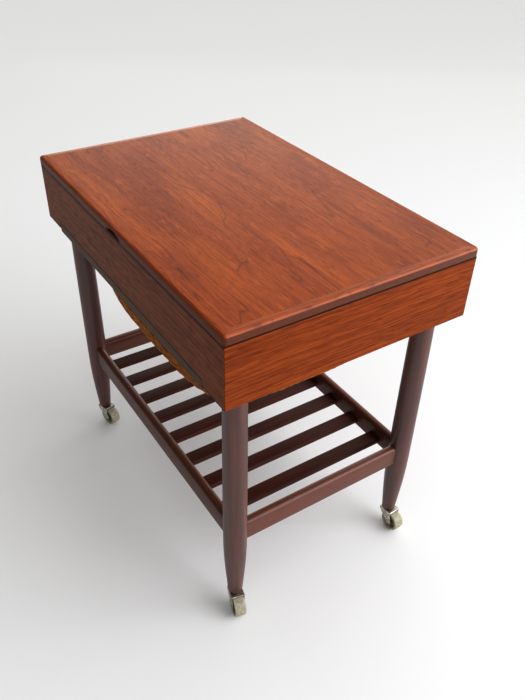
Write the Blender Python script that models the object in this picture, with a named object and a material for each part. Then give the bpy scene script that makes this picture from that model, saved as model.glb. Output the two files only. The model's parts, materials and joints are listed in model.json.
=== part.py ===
"""Sewing table on casters: a lidded case with compartments, a pull-out wicker basket under it,
four turned legs and a slatted shelf.

Frame: origin on the floor under the middle of the table, +X along its length, -Y towards the
front (the long side with the finger pull), +Z up. Metres.
"""
import math

import bmesh
import bpy
from mathutils import Matrix, Vector

for old_object in list(bpy.data.objects):
    bpy.data.objects.remove(old_object, do_unlink=True)

# ---------------------------------------------------------------- driving dimensions (metres)
LENGTH = 0.620                  # over the lid, X
DEPTH = 0.410                   # over the lid, Y
HEIGHT = 0.590                  # floor to lid top
GAP = 0.0003                    # between pieces that touch

LID_THICKNESS = 0.0135
LID_OVERHANG = 0.001            # lid past the case, all round
LID_CORNER_RADIUS = 0.006       # in plan
LID_ARRIS_RADIUS = 0.005        # top edge
LIPPING_WIDTH = 0.012
SEAM = 0.001                    # lid underside to case top
PULL_HALF_WIDTH = 0.024         # finger pull, scooped from the lower front edge of the lid
PULL_HEIGHT = 0.0100
PULL_DEPTH = 0.0075

CASE_HEIGHT = 0.098
WALL = 0.012
CASE_ARRIS = 0.0008
FLOOR_THICKNESS = 0.006
NOTCH_HEIGHT = 0.0118           # notch in the front panel, over the basket rail
NOTCH_CORNER_RADIUS = 0.003
NOTCH_CLEARANCE = 0.0015        # round the basket rail, above it and at its ends
FLOOR_CLEARANCE = 0.003         # case floor above the basket frame

DIVIDER_THICKNESS = 0.006
DIVIDER_HEIGHT = 0.060
LONG_DIVIDER_Y = 0.055
CROSS_DIVIDERS = 3

HINGE_END_MARGIN = 0.030        # from each end of the lid to the hinge
HINGE_BARREL_RADIUS = 0.0020
HINGE_BORE_RADIUS = 0.0013
HINGE_PIN_RADIUS = 0.0010
HINGE_INSET = 0.0025            # barrel axis in front of the lid's back face
HINGE_KNUCKLES = 5
KNUCKLE_GAP = 0.0004
LEAF_THICKNESS = 0.0008
LEAF_WIDTH = 0.0075             # from the barrel axis to the leaf's free edge
HINGE_REBATE_DEPTH = 0.0050     # in the case, under the barrel
LID_REBATE_HEIGHT = 0.0030
HINGE_RECESS_MARGIN = 0.0005
LID_RELIEF_CLEARANCE = 0.0004   # open lid's back edge to the case's back face

LEG_INSET_X = 0.039             # from the case's outer faces to a leg's axis
LEG_INSET_Y = 0.038
LEG_TOP_RADIUS = 0.0170
LEG_BELLY_RADIUS = 0.0184
LEG_FOOT_RADIUS = 0.0115
LEG_BELLY_HEIGHT = 0.173        # height of the thickest place above the floor
LEG_END_ROUNDING = 0.0015
SPIGOT_RADIUS = 0.009
SPIGOT_LENGTH = 0.012
CORNER_BLOCK_CLEARANCE = 0.004  # between a corner block and the basket rail

SHELF_RAIL_THICKNESS = 0.016
SHELF_RAIL_HEIGHT = 0.0365
SHELF_RAIL_TOP = 0.2035         # above the floor
SHELF_RAIL_ROUNDING = 0.007
SHELF_RAIL_LOWER_ROUNDING = 0.0015
SLATS = 8
SLAT_WIDTH = 0.026
SLAT_THICKNESS = 0.009
SLAT_END_GAP = 0.0334           # end rail to the first slat
SLAT_DROP = 0.0215              # slat tops below the rail tops
SLAT_ROUNDING = 0.0025

BASKET_LEG_CLEARANCE = 0.0025   # front rail's end to the leg
BASKET_RAIL_HEIGHT = 0.0165
BASKET_FRONT_RAIL_WIDTH = 0.030
BASKET_SIDE_RAIL_WIDTH = 0.0185
BASKET_BACK_RAIL_WIDTH = 0.024
BASKET_BACK_CLEARANCE = 0.006   # frame to back panel
RUNNER_TONGUE_LENGTH = 0.0063
RUNNER_TONGUE_HEIGHT = 0.0040
RUNNER_WIDTH = 0.0082
SLIDE_CLEARANCE = 0.0008        # side rail to runner
GROOVE_CLEARANCE = 0.0004       # tongue in its groove

BOWL_DEPTH = 0.143              # wicker basket, below its frame
BOWL_WALL = 0.005
RIM_UNDER_SIDE_RAIL = 0.015     # rim's outside, past the inner face of a rail
RIM_UNDER_END_RAIL = 0.007
BOWL_PLAN_EXPONENT = 4.6        # superellipse: 2 is an oval, large is a rectangle
BOWL_PROFILE_EXPONENT = 3.1

WHEEL_RADIUS = 0.019
WHEEL_WIDTH = 0.0186
WHEEL_EDGE_ROUNDING = 0.0015
WHEEL_RECESS_RADIUS = 0.0135
WHEEL_RECESS_DEPTH = 0.0022
WHEEL_BOSS_RADIUS = 0.0060
WHEEL_DRAFT = 0.0006            # slope of the recess's walls
WHEEL_BOSS_SET_BACK = 0.0004    # boss face behind the wheel's side
CASTER_TRAIL = 0.015
CASTER_PLATE = 0.0018
CASTER_PLATE_BACK = 0.0095      # plate behind and in front of the swivel axis
CASTER_PLATE_FRONT = 0.0170
PLATE_CLEARANCE = 0.0024        # wheel to plate
CHEEK_END_RADIUS = 0.0055       # round the axle
CHEEK_SHOULDER = 0.0070         # height of the cheek's upright back edge
CASTER_CHEEK = 0.0014
CHEEK_CLEARANCE = 0.0006        # wheel to cheek
AXLE_RADIUS = 0.0025
AXLE_CLEARANCE = 0.0004
AXLE_HEAD_RADIUS = 0.0042
AXLE_HEAD_HEIGHT = 0.0011
STEM_RADIUS = 0.0040
STEM_HEAD_RADIUS = 0.0060
STEM_HEAD_HEIGHT = 0.0018
STEM_LENGTH = 0.034             # above the caster's plate
CASTER_ANGLES = {               # trail direction at rest, degrees from +X
    "front_right": -14.2, "back_right": 1.7, "front_left": 15.5, "back_left": -9.0}

# ---------------------------------------------------------------- places worked out from them
LID_BOTTOM = HEIGHT - LID_THICKNESS
CASE_TOP = LID_BOTTOM - SEAM
CASE_BOTTOM = CASE_TOP - CASE_HEIGHT
HINGE_LENGTH = LENGTH - 2 * HINGE_END_MARGIN
CASE_X = LENGTH / 2 - LID_OVERHANG
CASE_Y = DEPTH / 2 - LID_OVERHANG
INNER_X = CASE_X - WALL
INNER_Y = CASE_Y - WALL
LEG_X = CASE_X - LEG_INSET_X
LEG_Y = CASE_Y - LEG_INSET_Y
PLATE_TOP = 2 * WHEEL_RADIUS + PLATE_CLEARANCE + CASTER_PLATE
LEG_FOOT_HEIGHT = PLATE_TOP + GAP
SLAT_TOP = SHELF_RAIL_TOP - SLAT_DROP
BASKET_RAIL_LENGTH = 2 * (LEG_X - LEG_TOP_RADIUS - BASKET_LEG_CLEARANCE)
BASKET_RAIL_TOP = CASE_BOTTOM + NOTCH_HEIGHT - NOTCH_CLEARANCE
BASKET_RAIL_BOTTOM = BASKET_RAIL_TOP - BASKET_RAIL_HEIGHT
FLOOR_BOTTOM = BASKET_RAIL_TOP + FLOOR_CLEARANCE
FLOOR_TOP = FLOOR_BOTTOM + FLOOR_THICKNESS
RUNNER_X = BASKET_RAIL_LENGTH / 2 - RUNNER_WIDTH                # runner's inner face
SIDE_RAIL_X = RUNNER_X - SLIDE_CLEARANCE                        # side rail's outer face
FRAME_X = SIDE_RAIL_X - BASKET_SIDE_RAIL_WIDTH                  # frame's opening, half length
FRAME_FRONT_Y = -CASE_Y + BASKET_FRONT_RAIL_WIDTH               # frame's opening, front edge
FRAME_BACK_Y = INNER_Y - BASKET_BACK_CLEARANCE - BASKET_BACK_RAIL_WIDTH
BOWL_HALF_LENGTH = FRAME_X + RIM_UNDER_SIDE_RAIL
BOWL_HALF_WIDTH = (FRAME_BACK_Y - FRAME_FRONT_Y) / 2 + RIM_UNDER_END_RAIL
BOWL_CENTRE_Y = (FRAME_BACK_Y + FRAME_FRONT_Y) / 2
HINGE_Y = DEPTH / 2 - HINGE_INSET
HINGE_Z = LID_BOTTOM - SEAM / 2
CORNERS = {"front_right": (1, -1), "back_right": (1, 1), "front_left": (-1, -1), "back_left": (-1, 1)}


# ---------------------------------------------------------------- materials
def material(name, colour, roughness, metallic=0.0):
    """A Principled BSDF with one sRGB colour, given as a hex string."""
    def linear(channel):
        value = int(channel, 16) / 255
        return value / 12.92 if value <= 0.04045 else ((value + 0.055) / 1.055) ** 2.4
    made = bpy.data.materials.new(name)
    made.use_nodes = True
    shader = made.node_tree.nodes["Principled BSDF"]
    rgb = [linear(colour[i:i + 2]) for i in (1, 3, 5)]
    shader.inputs["Base Color"].default_value = (*rgb, 1.0)
    shader.inputs["Roughness"].default_value = roughness
    shader.inputs["Metallic"].default_value = metallic
    return made


TEAK_VENEER = material("teak_veneer", "#9a4f2a", 0.38)
TEAK_LIPPING = material("teak_lipping", "#93492a", 0.36)
DARK_TEAK = material("dark_teak", "#54291f", 0.34)
PLYWOOD = material("birch_plywood", "#c9a06a", 0.55)
RATTAN = material("rattan", "#b9853f", 0.60)
BRASS = material("brass", "#b08d4a", 0.35, 1.0)
NICKEL = material("nickel_plate", "#b9b6ad", 0.30, 1.0)
WHEEL_PLASTIC = material("wheel_plastic", "#c9c1a6", 0.50)


# ---------------------------------------------------------------- helpers
def empty(name, location, angle=0.0, parent=None):
    """An empty that a moving piece hangs from, on its joint's axis."""
    made = bpy.data.objects.new(name, None)
    bpy.context.collection.objects.link(made)
    made.location = location
    made.rotation_euler = (0.0, 0.0, angle)
    made.parent = parent
    bpy.context.view_layer.update()
    return made


def piece(name, bm, surface, parent=None, local=False, location=(0.0, 0.0, 0.0), smooth=None):
    """An object from a bmesh. Its points are world coordinates, or local ones of the parent."""
    mesh = bpy.data.meshes.new(name)
    bmesh.ops.recalc_face_normals(bm, faces=bm.faces)
    bm.to_mesh(mesh)
    bm.free()
    mesh.materials.append(surface)
    if smooth is not None:
        mesh.shade_smooth()
        mesh.set_sharp_from_angle(angle=math.radians(smooth))
    made = bpy.data.objects.new(name, mesh)
    bpy.context.collection.objects.link(made)
    made.location = location
    made.parent = parent
    if parent is not None and not local:
        made.matrix_parent_inverse = parent.matrix_world.inverted()
    return made


def cutter(name, bm):
    """A closed shape that only cuts other pieces."""
    made = piece(name, bm, TEAK_VENEER)
    made.hide_render = True
    made.display_type = "WIRE"
    return made


def cut(target, tool, operation="DIFFERENCE"):
    """A Boolean modifier with the exact solver."""
    modifier = target.modifiers.new(f"{operation.lower()}_{tool.name}", "BOOLEAN")
    modifier.operation = operation
    modifier.object = tool
    modifier.solver = "EXACT"


def prism(outline, low, high, axis="Z"):
    """A bmesh from a closed outline, extruded along an axis from low to high.

    The outline holds (x, y) for Z, (y, z) for X and (x, z) for Y.
    """
    place = {"Z": lambda a, b, c: (a, b, c), "X": lambda a, b, c: (c, a, b), "Y": lambda a, b, c: (a, c, b)}[axis]
    bm = bmesh.new()
    face = bm.faces.new([bm.verts.new(place(a, b, low)) for a, b in outline])
    swept = bmesh.ops.extrude_face_region(bm, geom=[face])
    corners = [item for item in swept["geom"] if isinstance(item, bmesh.types.BMVert)]
    bmesh.ops.translate(bm, verts=corners, vec=Vector(place(0.0, 0.0, high - low)))
    return bm


def box(low, high):
    """A bmesh box between two corners."""
    bm = bmesh.new()
    bmesh.ops.create_cube(bm, size=1.0)
    size = Vector(high) - Vector(low)
    centre = (Vector(high) + Vector(low)) / 2
    bmesh.ops.transform(bm, matrix=Matrix.Translation(centre) @ Matrix.Diagonal((*size, 1.0)), verts=bm.verts)
    return bm


def lathe(profile, segments, axis="Z", centre=(0.0, 0.0, 0.0)):
    """A turned bmesh from (radius, distance along the axis) points; it closes where the radius is 0."""
    bm = bmesh.new()
    turn = {"Z": Matrix.Identity(3), "Y": Matrix.Rotation(math.radians(-90), 3, "X"),
            "X": Matrix.Rotation(math.radians(90), 3, "Y")}[axis]

    def point(radius, along, index):
        angle = 2 * math.pi * index / segments
        return turn @ Vector((radius * math.cos(angle), radius * math.sin(angle), along)) + Vector(centre)

    rings = []
    for radius, along in profile:
        count = 1 if radius == 0 else segments
        rings.append([bm.verts.new(point(radius, along, i)) for i in range(count)])
    closed = profile[0][0] != 0 and profile[-1][0] != 0
    pairs = list(zip(rings, rings[1:])) + ([(rings[-1], rings[0])] if closed else [])
    for first, second in pairs:
        for i in range(segments):
            j = (i + 1) % segments
            corners = [first[i % len(first)], first[j % len(first)], second[j % len(second)], second[i % len(second)]]
            bm.faces.new(list(dict.fromkeys(corners)))
    return bm


def arc(centre, radius, start, end, steps):
    """Points of an arc, angles in degrees, both ends included."""
    angles = [math.radians(start + (end - start) * i / steps) for i in range(steps + 1)]
    return [(centre[0] + radius * math.cos(a), centre[1] + radius * math.sin(a)) for a in angles]


def rounded_section(half_width, bottom, top, upper, lower, steps=4):
    """A board's cross-section, centred on 0, with rounded upper and lower arrises."""
    outline = arc((half_width - upper, top - upper), upper, 0, 90, steps)
    outline += arc((-half_width + upper, top - upper), upper, 90, 180, steps)
    outline += arc((-half_width + lower, bottom + lower), lower, 180, 270, 2)
    outline += arc((half_width - lower, bottom + lower), lower, 270, 360, 2)
    return outline


def shifted(outline, offset):
    """An outline moved along its first coordinate."""
    return [(a + offset, b) for a, b in outline]


# ---------------------------------------------------------------- lid
def lipping_section():
    """(distance in from the lid's outline, height) points round the lipping's cross-section."""
    inner = LIPPING_WIDTH - GAP
    rounding = arc((LID_ARRIS_RADIUS, HEIGHT - LID_ARRIS_RADIUS), LID_ARRIS_RADIUS, 180, 90, 4)
    return [(0.0, LID_BOTTOM)] + rounding + [(inner, HEIGHT), (inner, LID_BOTTOM)]


def lipping_strip(name, turns, parent):
    """One of the four mitred strips; turns counts quarter turns from the front strip."""
    half_x, half_y = (LENGTH / 2, DEPTH / 2) if turns % 2 == 0 else (DEPTH / 2, LENGTH / 2)
    quarter = Matrix.Rotation(math.radians(90 * turns), 3, "Z")
    stations = [(-1, 225), (-1, 247.5), (-1, 270), (1, 270), (1, 292.5), (1, 315)]
    mitre_gap = GAP / math.sqrt(2)
    bm = bmesh.new()
    sections = []
    for side, angle in stations:
        direction = (math.cos(math.radians(angle)), math.sin(math.radians(angle)))
        ring = []
        for inward, height in lipping_section():
            radius = max(LID_CORNER_RADIUS - inward, 0.0)
            corner = max(LID_CORNER_RADIUS, inward)
            x = side * (half_x - corner) + radius * direction[0]
            y = -(half_y - corner) + radius * direction[1]
            ring.append(bm.verts.new(quarter @ Vector((x - side * mitre_gap, y, height))))
        sections.append(ring)
    count = len(sections[0])
    for first, second in zip(sections, sections[1:]):
        for i in range(count):
            j = (i + 1) % count
            bm.faces.new([first[i], first[j], second[j], second[i]])
    bm.faces.new(sections[0])
    bm.faces.new(list(reversed(sections[-1])))
    bmesh.ops.remove_doubles(bm, verts=bm.verts, dist=0.00001)
    return piece(name, bm, TEAK_LIPPING, parent, smooth=30)


def make_lid():
    pivot = empty("lid_pivot", (0.0, HINGE_Y, HINGE_Z))
    edge = LIPPING_WIDTH + GAP
    half_x, half_y = LENGTH / 2 - edge, DEPTH / 2 - edge
    piece("lid_panel", box((-half_x, -half_y, LID_BOTTOM), (half_x, half_y, HEIGHT)), TEAK_VENEER, pivot)
    strips = {name: lipping_strip(f"lipping_{name}", turns, pivot)
              for turns, name in enumerate(("front", "right", "back", "left"))}

    scoop = bmesh.new()
    bmesh.ops.create_uvsphere(scoop, u_segments=24, v_segments=12, radius=1.0)
    size = Matrix.Diagonal((PULL_HALF_WIDTH, PULL_DEPTH, PULL_HEIGHT, 1.0))
    bmesh.ops.transform(scoop, matrix=Matrix.Translation((0.0, -DEPTH / 2, LID_BOTTOM)) @ size, verts=scoop.verts)
    cut(strips["front"], cutter("finger_pull_cutter", scoop))

    half = HINGE_LENGTH / 2 + HINGE_RECESS_MARGIN
    rebate_y = HINGE_Y - HINGE_BARREL_RADIUS - HINGE_RECESS_MARGIN * 2
    leaf_y = HINGE_Y - LEAF_WIDTH - HINGE_RECESS_MARGIN
    rebate = box((-half, rebate_y, LID_BOTTOM - SEAM), (half, DEPTH, LID_BOTTOM + LID_REBATE_HEIGHT))
    recess = box((-half, leaf_y, LID_BOTTOM - SEAM),
                 (half, rebate_y + HINGE_RECESS_MARGIN, LID_BOTTOM + LEAF_THICKNESS + GAP))
    # A small step along the whole lower back edge lets it turn past the case's top edge.
    relief_top = LID_BOTTOM + HINGE_INSET - LID_OVERHANG - SEAM / 2 + LID_RELIEF_CLEARANCE
    relief = box((-LENGTH, HINGE_Y + SEAM / 4, LID_BOTTOM - SEAM), (LENGTH, DEPTH, relief_top))
    for strip in ("back", "left", "right"):
        cut(strips[strip], cutter(f"lid_relief_cutter_{strip}", relief.copy()))
    relief.free()
    cut(strips["back"], cutter("lid_rebate_cutter", rebate))
    cut(strips["back"], cutter("lid_leaf_cutter", recess))
    return pivot


# ---------------------------------------------------------------- case
def panel_outline(half_long, half_other):
    """Plan of a mitred panel whose outside faces -Y, with a small arris at each outer corner."""
    mitre_gap = GAP / math.sqrt(2)
    outer, inner = -half_other, -half_other + WALL
    right = [(half_long - CASE_ARRIS, outer),
             (half_long - CASE_ARRIS / 2 - mitre_gap, outer + CASE_ARRIS / 2),
             (half_long - WALL - mitre_gap, inner)]
    return right + [(-x, y) for x, y in reversed(right)]


def make_case():
    for turns, name in enumerate(("front_panel", "right_end_panel", "back_panel", "left_end_panel")):
        half_long, half_other = (CASE_X, CASE_Y) if turns % 2 == 0 else (CASE_Y, CASE_X)
        bm = prism(panel_outline(half_long, half_other), CASE_BOTTOM, CASE_TOP)
        bmesh.ops.rotate(bm, matrix=Matrix.Rotation(math.radians(90 * turns), 3, "Z"), verts=bm.verts)
        piece(name, bm, TEAK_VENEER)

    notch_half = BASKET_RAIL_LENGTH / 2 + NOTCH_CLEARANCE
    notch_top = CASE_BOTTOM + NOTCH_HEIGHT
    inset = NOTCH_CORNER_RADIUS
    outline = arc((notch_half - inset, notch_top - inset), inset, 0, 90, 4)
    outline += arc((-notch_half + inset, notch_top - inset), inset, 90, 180, 4)
    outline += [(-notch_half, CASE_BOTTOM - inset), (notch_half, CASE_BOTTOM - inset)]
    notch = prism(outline, -CASE_Y - WALL, -CASE_Y + 2 * WALL, "Y")
    cut(bpy.data.objects["front_panel"], cutter("notch_cutter", notch))

    half = HINGE_LENGTH / 2 + HINGE_RECESS_MARGIN
    rebate_y = HINGE_Y - HINGE_BARREL_RADIUS - HINGE_RECESS_MARGIN * 2
    leaf_y = HINGE_Y - LEAF_WIDTH - HINGE_RECESS_MARGIN
    rebate = box((-half, rebate_y, CASE_TOP - HINGE_REBATE_DEPTH), (half, DEPTH, CASE_TOP + SEAM))
    recess = box((-half, leaf_y, CASE_TOP - LEAF_THICKNESS - GAP),
                 (half, rebate_y + HINGE_RECESS_MARGIN, CASE_TOP + SEAM))
    cut(bpy.data.objects["back_panel"], cutter("case_rebate_cutter", rebate))
    cut(bpy.data.objects["back_panel"], cutter("case_leaf_cutter", recess))

    edge_x, edge_y = INNER_X - GAP, INNER_Y - GAP
    piece("case_floor", box((-edge_x, -edge_y, FLOOR_BOTTOM), (edge_x, edge_y, FLOOR_TOP)), PLYWOOD)


def make_corner_blocks():
    """A block in each lower corner of the case takes the round tenon of a leg."""
    inner_x = BASKET_RAIL_LENGTH / 2 + CORNER_BLOCK_CLEARANCE
    inner_y = LEG_Y - (INNER_Y - LEG_Y)
    for name, (side_x, side_y) in CORNERS.items():
        across = sorted((side_x * inner_x, side_x * (INNER_X - GAP)))
        along = sorted((side_y * inner_y, side_y * (INNER_Y - GAP)))
        bm = box((across[0], along[0], CASE_BOTTOM), (across[1], along[1], FLOOR_BOTTOM - GAP))
        block = piece(f"corner_block_{name}", bm, PLYWOOD)
        bore = lathe([(0, CASE_BOTTOM - WALL), (SPIGOT_RADIUS + GAP, CASE_BOTTOM - WALL),
                      (SPIGOT_RADIUS + GAP, FLOOR_BOTTOM + WALL), (0, FLOOR_BOTTOM + WALL)],
                     20, centre=(side_x * LEG_X, side_y * LEG_Y, 0.0))
        cut(block, cutter(f"block_bore_cutter_{name}", bore))


def make_dividers():
    """One long divider, and cross dividers behind it, standing on the case floor."""
    low, high = FLOOR_TOP + GAP, FLOOR_TOP + GAP + DIVIDER_HEIGHT
    half = DIVIDER_THICKNESS / 2
    edge = INNER_X - GAP
    piece("long_divider", box((-edge, LONG_DIVIDER_Y - half, low), (edge, LONG_DIVIDER_Y + half, high)), PLYWOOD)
    start, end = LONG_DIVIDER_Y + half + GAP, INNER_Y - GAP
    for i in range(CROSS_DIVIDERS):
        x = INNER_X * (2 * (i + 1) / (CROSS_DIVIDERS + 1) - 1)
        piece(f"cross_divider_{i + 1}", box((x - half, start, low), (x + half, end, high)), PLYWOOD)


# ---------------------------------------------------------------- hinge
def hinge_leaf(name, low, high, first_knuckle, parent):
    """A leaf: its plate, and every second knuckle of the barrel."""
    half = HINGE_LENGTH / 2
    root = HINGE_Y - (HINGE_BARREL_RADIUS + HINGE_BORE_RADIUS) / 2 * 0.86
    leaf = piece(name, box((-half, HINGE_Y - LEAF_WIDTH, low), (half, root, high)), BRASS, parent, smooth=30)
    pitch = HINGE_LENGTH / HINGE_KNUCKLES
    spare = bmesh.new()
    for i in range(first_knuckle, HINGE_KNUCKLES, 2):
        start, end = -half + i * pitch + KNUCKLE_GAP / 2, -half + (i + 1) * pitch - KNUCKLE_GAP / 2
        tube = [(HINGE_BORE_RADIUS, start), (HINGE_BARREL_RADIUS, start),
                (HINGE_BARREL_RADIUS, end), (HINGE_BORE_RADIUS, end)]
        ring = lathe(tube, 16, "X", (0.0, HINGE_Y, HINGE_Z))
        bmesh.ops.recalc_face_normals(ring, faces=ring.faces)
        mesh = bpy.data.meshes.new("knuckle")
        ring.to_mesh(mesh)
        ring.free()
        spare.from_mesh(mesh)
        bpy.data.meshes.remove(mesh)
    barrel = cutter(f"{name}_knuckles", spare)
    cut(leaf, barrel, "UNION")
    clear = bmesh.new()
    for i in range(1 - first_knuckle, HINGE_KNUCKLES, 2):
        start, end = -half + i * pitch - KNUCKLE_GAP / 2, -half + (i + 1) * pitch + KNUCKLE_GAP / 2
        gap_box = box((start, HINGE_Y - HINGE_BARREL_RADIUS - GAP, HINGE_Z - HINGE_BARREL_RADIUS * 2),
                      (end, HINGE_Y + HINGE_BARREL_RADIUS * 2, HINGE_Z + HINGE_BARREL_RADIUS * 2))
        mesh = bpy.data.meshes.new("space")
        gap_box.to_mesh(mesh)
        gap_box.free()
        clear.from_mesh(mesh)
        bpy.data.meshes.remove(mesh)
    cut(leaf, cutter(f"{name}_spaces", clear))
    return leaf


def make_hinge(lid_pivot):
    hinge_leaf("hinge_case_leaf", CASE_TOP - LEAF_THICKNESS, CASE_TOP, 0, None)
    hinge_leaf("hinge_lid_leaf", LID_BOTTOM, LID_BOTTOM + LEAF_THICKNESS, 1, lid_pivot)
    half = HINGE_LENGTH / 2
    profile = [(0, -half), (HINGE_PIN_RADIUS, -half), (HINGE_PIN_RADIUS, half), (0, half)]
    piece("hinge_pin", lathe(profile, 12, "X", (0.0, HINGE_Y, HINGE_Z)), BRASS, smooth=30)


# ---------------------------------------------------------------- legs
def leg_radius(height):
    """A leg swells gently from the top to its belly, then tapers in a quarter sine to the foot."""
    if height >= LEG_BELLY_HEIGHT:
        share = (height - LEG_BELLY_HEIGHT) / (CASE_BOTTOM - LEG_BELLY_HEIGHT)
        return LEG_BELLY_RADIUS - (LEG_BELLY_RADIUS - LEG_TOP_RADIUS) * share ** 2
    share = (height - LEG_FOOT_HEIGHT) / (LEG_BELLY_HEIGHT - LEG_FOOT_HEIGHT)
    return LEG_FOOT_RADIUS + (LEG_BELLY_RADIUS - LEG_FOOT_RADIUS) * math.sin(math.pi / 2 * share)


def make_legs():
    top = CASE_BOTTOM - GAP
    foot = LEG_FOOT_HEIGHT
    bore = STEM_RADIUS + GAP
    bore_top = foot + STEM_LENGTH + GAP
    profile = [(0, bore_top), (bore, bore_top), (bore, foot), (LEG_FOOT_RADIUS - LEG_END_ROUNDING, foot)]
    taper_rows, body_rows = 7, 4
    heights = [foot + LEG_END_ROUNDING + (LEG_BELLY_HEIGHT - foot - LEG_END_ROUNDING) * i / taper_rows
               for i in range(taper_rows)]
    heights += [LEG_BELLY_HEIGHT + (top - LEG_BELLY_HEIGHT) * i / body_rows for i in range(body_rows + 1)]
    profile += [(leg_radius(height), height) for height in heights]
    profile += [(SPIGOT_RADIUS, top), (SPIGOT_RADIUS, top + SPIGOT_LENGTH), (0, top + SPIGOT_LENGTH)]
    for name, (side_x, side_y) in CORNERS.items():
        bm = lathe(profile, 20, centre=(side_x * LEG_X, side_y * LEG_Y, 0.0))
        piece(f"leg_{name}", bm, DARK_TEAK, smooth=35)


# ---------------------------------------------------------------- shelf
def leg_cutter(name, side_x, side_y):
    """The round of a leg over the height of the shelf rails, with the touching gap."""
    low, high = SHELF_RAIL_TOP - 2 * SHELF_RAIL_HEIGHT, SHELF_RAIL_TOP + SHELF_RAIL_HEIGHT
    radius = LEG_BELLY_RADIUS + GAP
    bm = lathe([(0, low), (radius, low), (radius, high), (0, high)], 40, centre=(side_x * LEG_X, side_y * LEG_Y, 0.0))
    return cutter(f"cope_cutter_{name}", bm)


def make_shelf():
    section = rounded_section(SHELF_RAIL_THICKNESS / 2, SHELF_RAIL_TOP - SHELF_RAIL_HEIGHT, SHELF_RAIL_TOP,
                              SHELF_RAIL_ROUNDING, SHELF_RAIL_LOWER_ROUNDING)
    copes = {name: leg_cutter(name, *sides) for name, sides in CORNERS.items()}
    reach_x = LEG_X - LEG_BELLY_RADIUS * 0.75
    reach_y = LEG_Y - LEG_BELLY_RADIUS * 0.75
    for name, side in (("front", -1), ("back", 1)):
        bm = prism(shifted(section, side * LEG_Y), -reach_x, reach_x, "X")
        rail = piece(f"shelf_{name}_rail", bm, DARK_TEAK, smooth=30)
        cut(rail, copes[f"{name}_left"])
        cut(rail, copes[f"{name}_right"])
    for name, side in (("left", -1), ("right", 1)):
        bm = prism(shifted(section, side * LEG_X), -reach_y, reach_y, "Y")
        rail = piece(f"shelf_{name}_rail", bm, DARK_TEAK, smooth=30)
        cut(rail, copes[f"front_{name}"])
        cut(rail, copes[f"back_{name}"])

    reach = LEG_Y - SHELF_RAIL_THICKNESS / 2 - GAP
    slat = rounded_section(SLAT_WIDTH / 2, SLAT_TOP - SLAT_THICKNESS, SLAT_TOP, SLAT_ROUNDING, SLAT_ROUNDING / 2, 3)
    outermost = LEG_X - SHELF_RAIL_THICKNESS / 2 - SLAT_END_GAP - SLAT_WIDTH / 2
    for i in range(SLATS):
        x = outermost * (2 * i / (SLATS - 1) - 1)
        piece(f"slat_{i + 1}", prism(shifted(slat, x), -reach, reach, "Y"), DARK_TEAK, smooth=30)


# ---------------------------------------------------------------- basket
def bowl_point(share_down, angle, inset, depth):
    """A point of the bowl: a superellipse in plan that narrows along a superellipse in profile."""
    narrowing = (1 - share_down ** BOWL_PROFILE_EXPONENT) ** (1 / BOWL_PROFILE_EXPONENT)
    power = 2 / BOWL_PLAN_EXPONENT
    cosine, sine = math.cos(angle), math.sin(angle)
    x = math.copysign(abs(cosine) ** power, cosine) * (BOWL_HALF_LENGTH - inset) * narrowing
    y = math.copysign(abs(sine) ** power, sine) * (BOWL_HALF_WIDTH - inset) * narrowing
    return Vector((x, BOWL_CENTRE_Y + y, BASKET_RAIL_BOTTOM - GAP - depth * share_down))


def make_wicker_basket(parent):
    around, rows = 48, 9
    # Evenly spaced in a sine, so that the rows crowd where the side turns into the bottom.
    shares = [math.sin(math.pi / 2 * i / rows) ** 0.9 for i in range(rows)]
    bm = bmesh.new()

    def surface(inset, depth):
        rings = []
        for share in shares:
            rings.append([bm.verts.new(bowl_point(share, 2 * math.pi * i / around, inset, depth))
                          for i in range(around)])
        for first, second in zip(rings, rings[1:]):
            for i in range(around):
                j = (i + 1) % around
                bm.faces.new([first[i], first[j], second[j], second[i]])
        bm.faces.new(rings[-1])
        return rings[0]

    outer = surface(0.0, BOWL_DEPTH)
    inner = surface(BOWL_WALL, BOWL_DEPTH - BOWL_WALL)
    for i in range(around):
        j = (i + 1) % around
        bm.faces.new([outer[i], outer[j], inner[j], inner[i]])
    piece("wicker_basket", bm, RATTAN, parent, smooth=40)


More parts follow.
